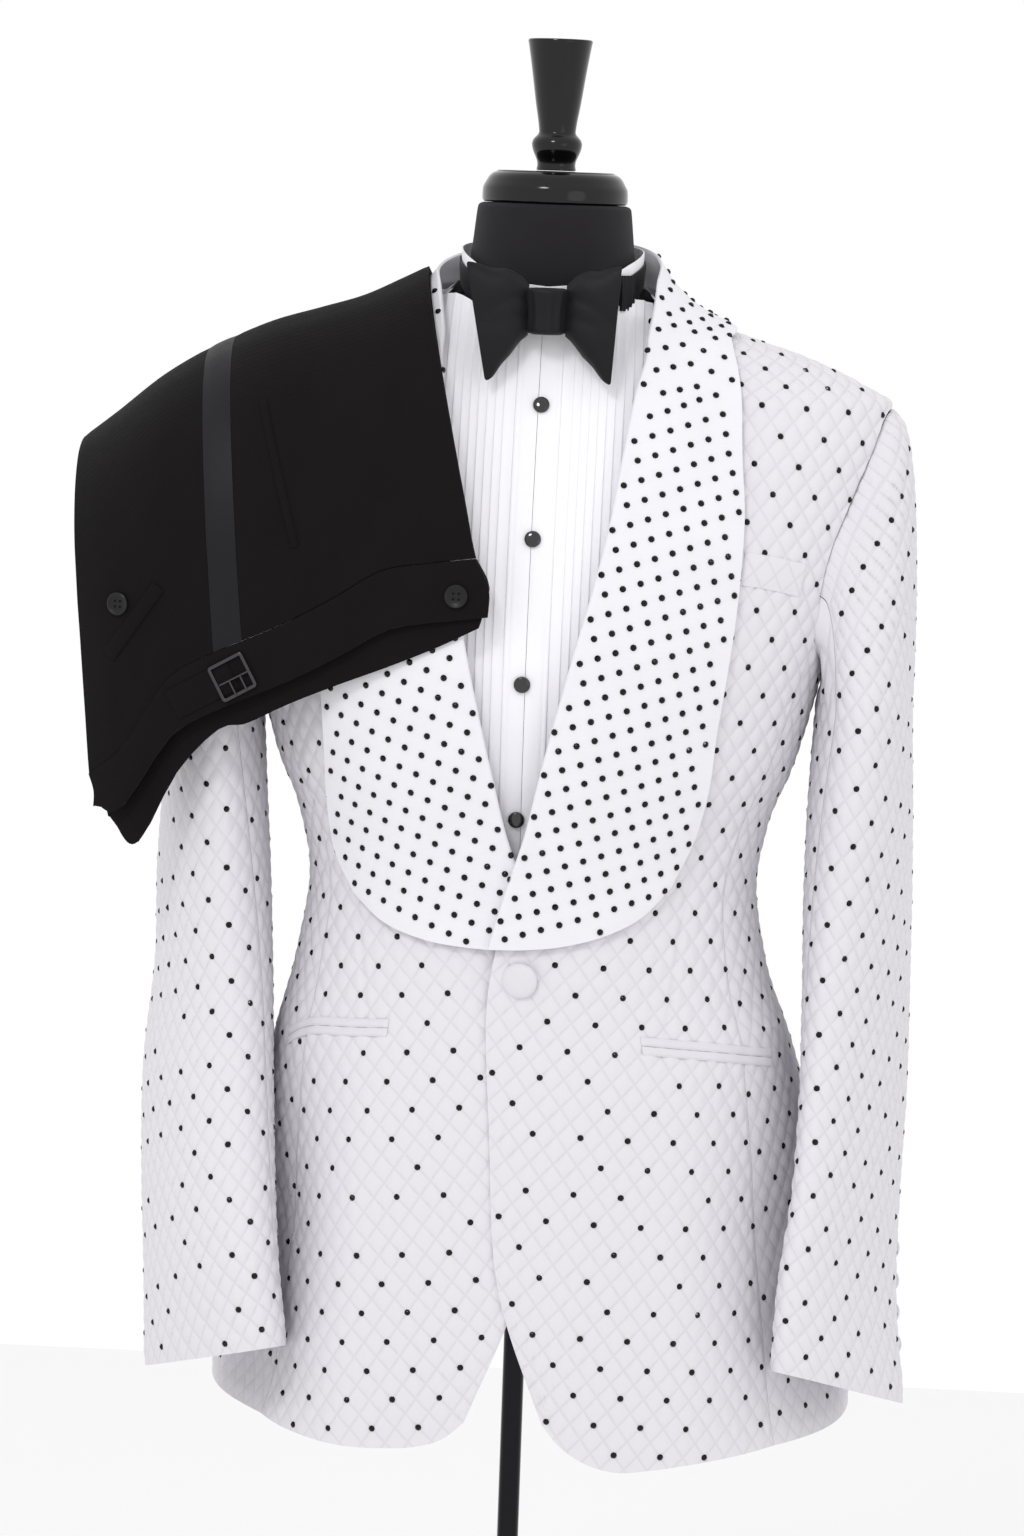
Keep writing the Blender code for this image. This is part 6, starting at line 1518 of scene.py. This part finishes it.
# The waistband's near half, with its top edge turned over, and the far half behind it.
for word, rows, low, high in (("left", coarse[1:4], thick - 0.4 * MM, thick + SEAM_GAP + 2.0 * MM),
                              ("right", coarse[[0, 2, 3]], 0.2 * MM + 0 * thick, 2.2 * MM + 0 * thick)):
    name = f"trousers_waistband_{word}"
    piece = finer(finer(rows, FINE), FINE, axis=1)
    # Its outer end is folded over softly, so the lower corner is round.
    end = ease_in_out((np.linspace(0, 1, piece.shape[1]) - 0.86) / 0.14)[None] ** 2
    piece[..., 2] += 16 * MM * end * (1 - np.linspace(0, 1, len(piece))[:, None])
    out = normals(piece)
    if out[FINE, 4 * FINE, 1] > 0:
        out = -out
    soft = edge_fade(piece.shape[:2], 3.0)[..., None]
    top = seam if word == "left" else 0.5 * MM
    made = shell(name, inset(piece + (high - 0.5 * MM * (1 - soft)) * out, top=top),
                 inset(piece + low * out, top=top), wool, cloth_of(piece), skip=4)
    settle(made, "black_wool", name)

FACING_BACK = np.array([0.0, 1.0, 0.0])  # the way in, for trim laid on the hanging front
TRIM_FROM = -0.11  # y of the plane that this way starts from


def trim_strip(name, tree, line, half_width, columns, thickness, material, gap):
    """A strip along an (x, height) line, half_width to each side of it, laid on the front."""
    line = np.array(line, float)
    share = np.concatenate([[0], np.cumsum(np.linalg.norm(np.diff(line, axis=0), axis=1))])
    at = np.linspace(0, share[-1], columns)
    middle = np.stack([np.interp(at, share, axis) for axis in line.T], -1)
    along = np.gradient(middle, axis=0)
    along /= np.linalg.norm(along, axis=1, keepdims=True)
    side = np.stack([-along[:, 1], along[:, 0]], -1)
    flat = np.array([middle + share * half_width * side for share in np.linspace(-1, 1, 9)])
    points = np.stack([flat[..., 0], 0 * flat[..., 0] + TRIM_FROM, flat[..., 1]], -1)
    made = laid_cloth(name, tree, points, FACING_BACK + 0 * points, thickness, material, gap, 2)
    return settle(made, "black_wool", name)


panels = resting_tree(("trousers_front_left", "trousers_stripe", "trousers_back_left"))
band = resting_tree(("trousers_waistband_left",))
for name, tree, line, half_width, columns, thickness, gap, cut, below in (
    # lengths in mm but for the line; cut is its width, length and area in metres
    ("trousers_front_pocket_jet", panels, [(-0.181, 1.392), (-0.154, 1.300)], 2.5, 49, 0.9, 0.5,
     (0.098, 0.010, 0.00055), "trousers_front_left_look"),
    ("trousers_back_pocket_welt", panels, [(-0.243, 1.270), (-0.276, 1.222)], 4.5, 33, 1.0, 0.6,
     (0.060, 0.011, 0.00058), "trousers_back_left_look"),
    ("trousers_side_tab", band, [(-0.192, 1.2160), (-0.232, 1.1935)], 10.0, 33, 1.3, 0.4,
     (0.048, 0.022, 0.00100), "trousers_waistband_left_look"),
):
    made = trim_strip(name, tree, line, half_width * MM, columns, thickness * MM, wool, gap * MM)


# ---------------------------------------------------------------- buttons and buckle of the trousers
# Turned black horn buttons with a rolled rim and four holes, and a stamped steel slide on the
# side tab, plated black, which the tab is threaded through.

# Polished horn: almost black, with faint brown streaks and a soft waxy shine.
horn, tree, shader = finish("polished_black_horn", "0b0a0a", 0.36, Specular_IOR_Level=0.3)
vary_colour(tree, shader, noise(tree, in_space(tree), 0.003, 4.0, Distortion=1.0), "080707", "141011")
# Black nickel plate on stamped steel: a dark grey metal gleam, slightly scratched.
nickel, tree, shader = finish("black_nickel_plate", "4a484b", 0.30, Metallic=1.0)
scratches = noise(tree, node(tree, "Mapping", {"Vector": in_space(tree), "Scale": (1, 1, 20)}), 0.004, 3.0)
vary_roughness(tree, shader, scratches, 0.15, 0.34)

profile = [(0.0055, 0.0), (0.0070, 0.0003), (0.0075, 0.0010), (0.0074, 0.0018), (0.0068, 0.0022),
           (0.0060, 0.0019), (0.0052, 0.0014), (0.0030, 0.0013), (0.0008, 0.0013)]
for name, x, height, tree in (("trousers_waistband_button", -0.0480, 1.2740, band),
                              ("trousers_back_pocket_button", -0.2700, 1.2570, panels)):
    seat = seat_on(tree, (x, TRIM_FROM, height), FACING_BACK)
    parts = [turned(name, profile, 40, horn)]
    for i in range(4):  # thread in the holes
        cross = turned("thread", [(0.0007, 0.0012), (0.0008, 0.0016), (0.0004, 0.0019)], 10, wool)
        cross.data.transform(Matrix.Translation((0.0018 * (-1) ** i, 0.0018 * (-1) ** (i // 2), 0)))
        parts.append(cross)
    made = joined(name, parts)
    made.data.transform(seat)
    settle(made, "black_horn", name)

BUCKLE_PLACE = (-0.1905, 1.2145)
BUCKLE_HALF = np.array((0.0130, 0.0125))
BUCKLE_SLANT = np.array([(0.87, 0.49), (-0.49, 0.87)])  # it leans as the tab does
BUCKLE_CORNER = 2.4  # radius of the frame's corners in mm
BUCKLE_SECTION = [  # of the stamped frame in mm: how far inside its outer edge, how far up
    (0.0, 0.0), (-0.25, 0.35), (0.0, 1.1), (0.5, 1.4), (1.5, 1.4), (2.0, 1.1), (2.2, 0.35), (2.0, 0.0),
]
WIRE_RADIUS = 0.75 * MM  # of the middle bar and the prongs
tree = resting_tree(("trousers_side_tab", "trousers_waistband_left"))
steps = np.radians(np.linspace(0, 90, 7))


def rounded_frame(half, radius):
    """Corners of a rectangle, each rounded, anticlockwise."""
    rows = []
    for quarter, (sx, sy) in enumerate(((1, 1), (-1, 1), (-1, -1), (1, -1))):
        turn = steps + quarter * math.pi / 2
        rows += [((half[0] - radius) * sx + radius * math.cos(t),
                  (half[1] - radius) * sy + radius * math.sin(t))
                 for t in turn]
    return np.array(rows)


loops = []
for inwards, rise in BUCKLE_SECTION:
    corner = max(BUCKLE_CORNER - inwards, 0.5) * MM
    flat = rounded_frame(BUCKLE_HALF - inwards * MM, corner)
    flat = flat @ BUCKLE_SLANT
    none = 0 * flat[:, 0]
    loops.append(np.stack([BUCKLE_PLACE[0] + flat[:, 0], none + TRIM_FROM, BUCKLE_PLACE[1] + flat[:, 1],
                           none + rise * MM], -1))
loops = np.array(loops)
under, out = laid_on(tree, loops[0, :, :3], FACING_BACK + 0 * loops[0, :, :3], 0)
middle = under.mean(axis=0)
quarter = len(under) // 4
normal = np.cross(under[quarter] - under[0], under[-quarter] - under[0])
normal *= -np.sign(normal[1]) / np.linalg.norm(normal)
flat = loops[..., :3] - normal * ((loops[..., :3] - middle) @ normal)[..., None]
rise = max(float(((under - middle) @ normal).max()), 0) + SEAM_GAP
points = flat + normal * (rise + loops[..., 3:])
index = ring_index(*points.shape[:2])
index = np.concatenate([index, index[:1]], axis=0)
parts = [skin("trousers_buckle", points, quads(index).tolist(), nickel)]
turns = np.linspace(0, 2 * math.pi, 13)[:-1]
across = (points[0, 3] - points[0, -4]) / np.linalg.norm(points[0, 3] - points[0, -4])
upright = np.cross(normal, across)
for start, end, height in (((-0.5, -11.5), (-0.5, 11.5), 0.8), ((-0.5, 4.0), (-11.5, 4.0), 1.4),
                           ((-0.5, -4.0), (-11.5, -4.0), 1.4)):  # its middle bar and two prongs
    ends = [middle + (a * across + b * upright) * MM + normal * (rise + height * MM) for a, b in (start, end)]
    along = (ends[1] - ends[0]) / np.linalg.norm(ends[1] - ends[0])
    over = np.cross(along, normal)
    tube = np.array([ends[0] + share * (ends[1] - ends[0])
                     + WIRE_RADIUS * (math.cos(t) * over + math.sin(t) * normal)
                     for share in (0, 0.33, 0.67, 1) for t in turns]).reshape(4, 12, 3)
    closed = quads(ring_index(4, 12)).tolist() + [list(range(12))[::-1], list(range(36, 48))]
    parts.append(skin("bar", tube, closed, nickel))
settle(joined("trousers_buckle", parts), "bright_metal", "trousers_buckle")


# ---------------------------------------------------------------- stones of the jacket
# Faceted black glass stones with flat backs, glued where lines of quilting cross, row by row on
# the body and the sleeves all round, and closer together on the lapels.

STONE = 2.2 * MM  # radius
STONES_APART = 9 * MM  # nearest that stones of two pieces come at a seam
OVER_LAPELS, OVER_BODY, OVER_TRIM = 0.012, 0.020, 0.003  # a stone this near below a cover is left out
STONE_PROFILE = [  # share of the radius, height: flat back, girdle, crown facets
    (0.96, 0.0), (1.0, 0.25 * MM), (0.90, 0.55 * MM), (0.55, 1.35 * MM), (0.42, 1.5 * MM),
]
LAPEL_LATTICE = {  # across and up on the cloth, from a stone to its neighbours, in mm
    LEFT: [(11.1, 3.7), (2.7, -12.2)],
    RIGHT: [(11.2, -4.4), (-3.2, -12.8)],
}
LAPEL_CORNER = {LEFT: (76.0, 305.5), RIGHT: (-76.0, 188.5)}  # where one stone of the lattice lies, in mm
# Black cut glass with a foiled back: near black and glassy, so each facet mirrors light on its own.
jet, tree, shader = finish("black_cut_glass", "040405", 0.08, IOR=1.5, Specular_IOR_Level=0.25)


def lattice_places(outer, uv, free, first, second, corner=(0, 0)):
    """Points and outward directions on a grid where its cloth carries a corner of a lattice."""
    first, second, corner = (np.array(v) for v in (first, second, corner))
    turns = np.linalg.inv(np.stack([first, second], 1))
    coarse = (uv.reshape(-1, 2) - corner) @ turns.T
    low, high = np.floor(coarse.min(axis=0)).astype(int), np.ceil(coarse.max(axis=0)).astype(int)
    i, j = np.meshgrid(np.arange(low[0], high[0] + 1), np.arange(low[1], high[1] + 1))
    wanted = corner + i.reshape(-1, 1) * first + j.reshape(-1, 1) * second
    normal = normals(outer)
    across = [np.gradient(g, axis=1) for g in (uv, outer)]
    up = [np.gradient(g, axis=0) for g in (uv, outer)]
    places = []
    for want in wanted:
        near = np.argmin(np.sum((uv.reshape(-1, 2) - want) ** 2, axis=1))
        at = np.unravel_index(near, uv.shape[:2])
        if not free[at]:
            continue
        step = np.linalg.lstsq(np.stack([across[0][at], up[0][at]], 1), want - uv[at], rcond=None)[0]
        if np.abs(step).max() > 1.5:
            continue
        places.append((outer[at] + step[0] * across[1][at] + step[1] * up[1][at], normal[at]))
    return places


def stones(name, places, blocked, reach, earlier):
    """The stones of one piece as one mesh, but for any under a cover or beside an earlier stone."""
    count = 8
    turn = np.arange(count) * 2 * math.pi / count
    rings = np.array([[(share * STONE * c, share * STONE * s, h) for c, s in zip(np.cos(turn), np.sin(turn))]
                      for share, h in STONE_PROFILE])
    index = ring_index(len(rings), count)
    one = quads(index).tolist() + [index[-1, :-1].tolist(), index[0, -2::-1].tolist()]
    points, faces = [], []
    for number, (place, out) in enumerate(places):
        if any(tree.ray_cast(Vector(place + 0.3 * MM * out), Vector(out), far)[0] is not None
               for tree, far in zip(blocked, reach)):
            continue
        if any(np.linalg.norm(place - other) < STONES_APART for other in earlier):
            continue
        earlier.append(place)
        spin = Matrix.Rotation(2.4 * number, 3, "Z")
        seat = np.array(Vector(out).to_track_quat("Z", "Y").to_matrix() @ spin)
        faces += [[corner + len(points) * rings.shape[0] * count for corner in face] for face in one]
        points.append(rings.reshape(-1, 3) @ seat.T + place + 0.05 * MM * out)
    made = skin(f"stones_{name}", np.concatenate(points), faces, jet, sharp=5)
    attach(made, "root")


width, height = DIAMOND
over_body = resting_tree(("lapel_left", "lapel_right", "trousers_fold", "trousers_front_left",
                          "trousers_stripe", "trousers_back_left"))
trim = resting_tree([o.name[:-5] for o in bpy.data.objects if o.name.endswith("_look")
                     and o.name.startswith(("sleeve", "jacket", "hip", "chest", "front_button", "cuff"))])
on_body = []
for name, (outer, uv, free) in sorted(studded.items(), key=lambda entry: "under" in entry[0]):
    side = LEFT if name.endswith("left") else RIGHT
    axis = outer.mean(axis=(0, 1)) * (0, 0, 1)  # of the body, or of the whole sleeve
    if name.startswith("sleeve"):
        both = [studded[f"sleeve_{part}_{name.split('_')[-1]}"][0] for part in ("top", "under")]
        axis = np.concatenate([piece.reshape(-1, 3) for piece in both]).mean(axis=0)
    if np.einsum("ijk,ijk", normals(outer), outer - axis) < 0:
        outer, uv, free = outer[:, ::-1], uv[:, ::-1], free[:, ::-1]
    if name.startswith("lapel"):
        lattice = np.array(LAPEL_LATTICE[side]) * MM
        places = lattice_places(outer, uv, free, *lattice, np.array(LAPEL_CORNER[side]) * MM)
        stones(name, places, [over_body, trim], [OVER_LAPELS, OVER_TRIM], [])
    else:
        places = lattice_places(outer, uv, free, (2 * width, 0), (width, height))
        stones(name, places, [over_body, trim], [OVER_BODY, OVER_TRIM], on_body)


# ---------------------------------------------------------------- floor, light and camera
# A flat white paper floor in an all-white room, so light comes from every side and the shadows
# stay faint. Two soft lamps ahead give the cloth its form: a strong one high on the left, and a
# weak large one on the right.

FLOOR_REACH = 2.6  # from the stand to each edge
LAMPS = [  # name, place, what it points at, diameter, power in watts
    ("key", (-0.8, -2.4, 3.4), (0, 0, 1.2), 0.7, 21), ("fill", (1.9, -2.6, 1.6), (0, 0, 1.1), 1.6, 4),
]
CAMERA_DISTANCE, CAMERA_HEIGHT, CAMERA_TURN, CAMERA_ROLL = 2.9, 1.545, 2.5, 2.0
PICTURE_TALL = 1536  # pixels, the unit of the next three
LENS_PIXELS = 4350  # focal length
DOWN_PIXELS, ASIDE_PIXELS = 598, 23  # how far the middle looks below level and beside the stand

# Matt white paper with a faint unevenness.
paper, tree, shader = finish("white_paper", "f4f4f4", 0.9)
vary_roughness(tree, shader, noise(tree, in_space(tree), 0.30, 3.0), 0.82, 0.95)
floor = bpy.data.meshes.new("paper_floor")
corners = [(FLOOR_REACH * x, FLOOR_REACH * y, 0) for x, y in ((-1, -1), (1, -1), (1, 1), (-1, 1))]
floor.from_pydata(corners, [], [(0, 1, 2, 3)])
floor.materials.append(paper)
sheet = bpy.data.objects.new("paper_floor", floor)
bpy.context.scene.collection.objects.link(sheet)

scene = bpy.context.scene
scene.view_settings.view_transform = "Standard"
scene.view_settings.look = "None"
scene.world = bpy.data.worlds.new("white_room")
scene.world.use_nodes = True
scene.world.node_tree.nodes["Background"].inputs["Color"].default_value = linear("ffffff")
scene.world.node_tree.nodes["Background"].inputs["Strength"].default_value = 1.0
for name, place, goal, size, power in LAMPS:
    lamp = bpy.data.lights.new(name, "AREA")
    lamp.shape, lamp.size, lamp.energy = "DISK", size, power
    light = bpy.data.objects.new(name, lamp)
    light.location = place
    light.rotation_euler = (Vector(goal) - Vector(place)).to_track_quat("-Z", "Y").to_euler()
    scene.collection.objects.link(light)

pitch = math.atan(DOWN_PIXELS / LENS_PIXELS)
turn, roll = math.radians(CAMERA_TURN), math.radians(CAMERA_ROLL)
head = turn + math.atan(ASIDE_PIXELS / LENS_PIXELS)
ahead = Vector((-math.sin(head) * math.cos(pitch), math.cos(head) * math.cos(pitch), -math.sin(pitch)))
right = ahead.cross(Vector((0, 0, 1))).normalized()
up = right.cross(ahead)
across = right * math.cos(roll) + up * math.sin(roll)
upward = up * math.cos(roll) - right * math.sin(roll)
camera = bpy.data.cameras.new("camera")
camera.sensor_width = 36  # mm
camera.lens = camera.sensor_width * LENS_PIXELS / PICTURE_TALL
eye = bpy.data.objects.new("camera", camera)
seen_from = (CAMERA_DISTANCE * math.sin(turn), -CAMERA_DISTANCE * math.cos(turn), CAMERA_HEIGHT)
eye.matrix_world = (Matrix.Translation(seen_from)
                    @ Matrix((across, upward, -ahead)).transposed().to_4x4())
scene.collection.objects.link(eye)
scene.camera = eye
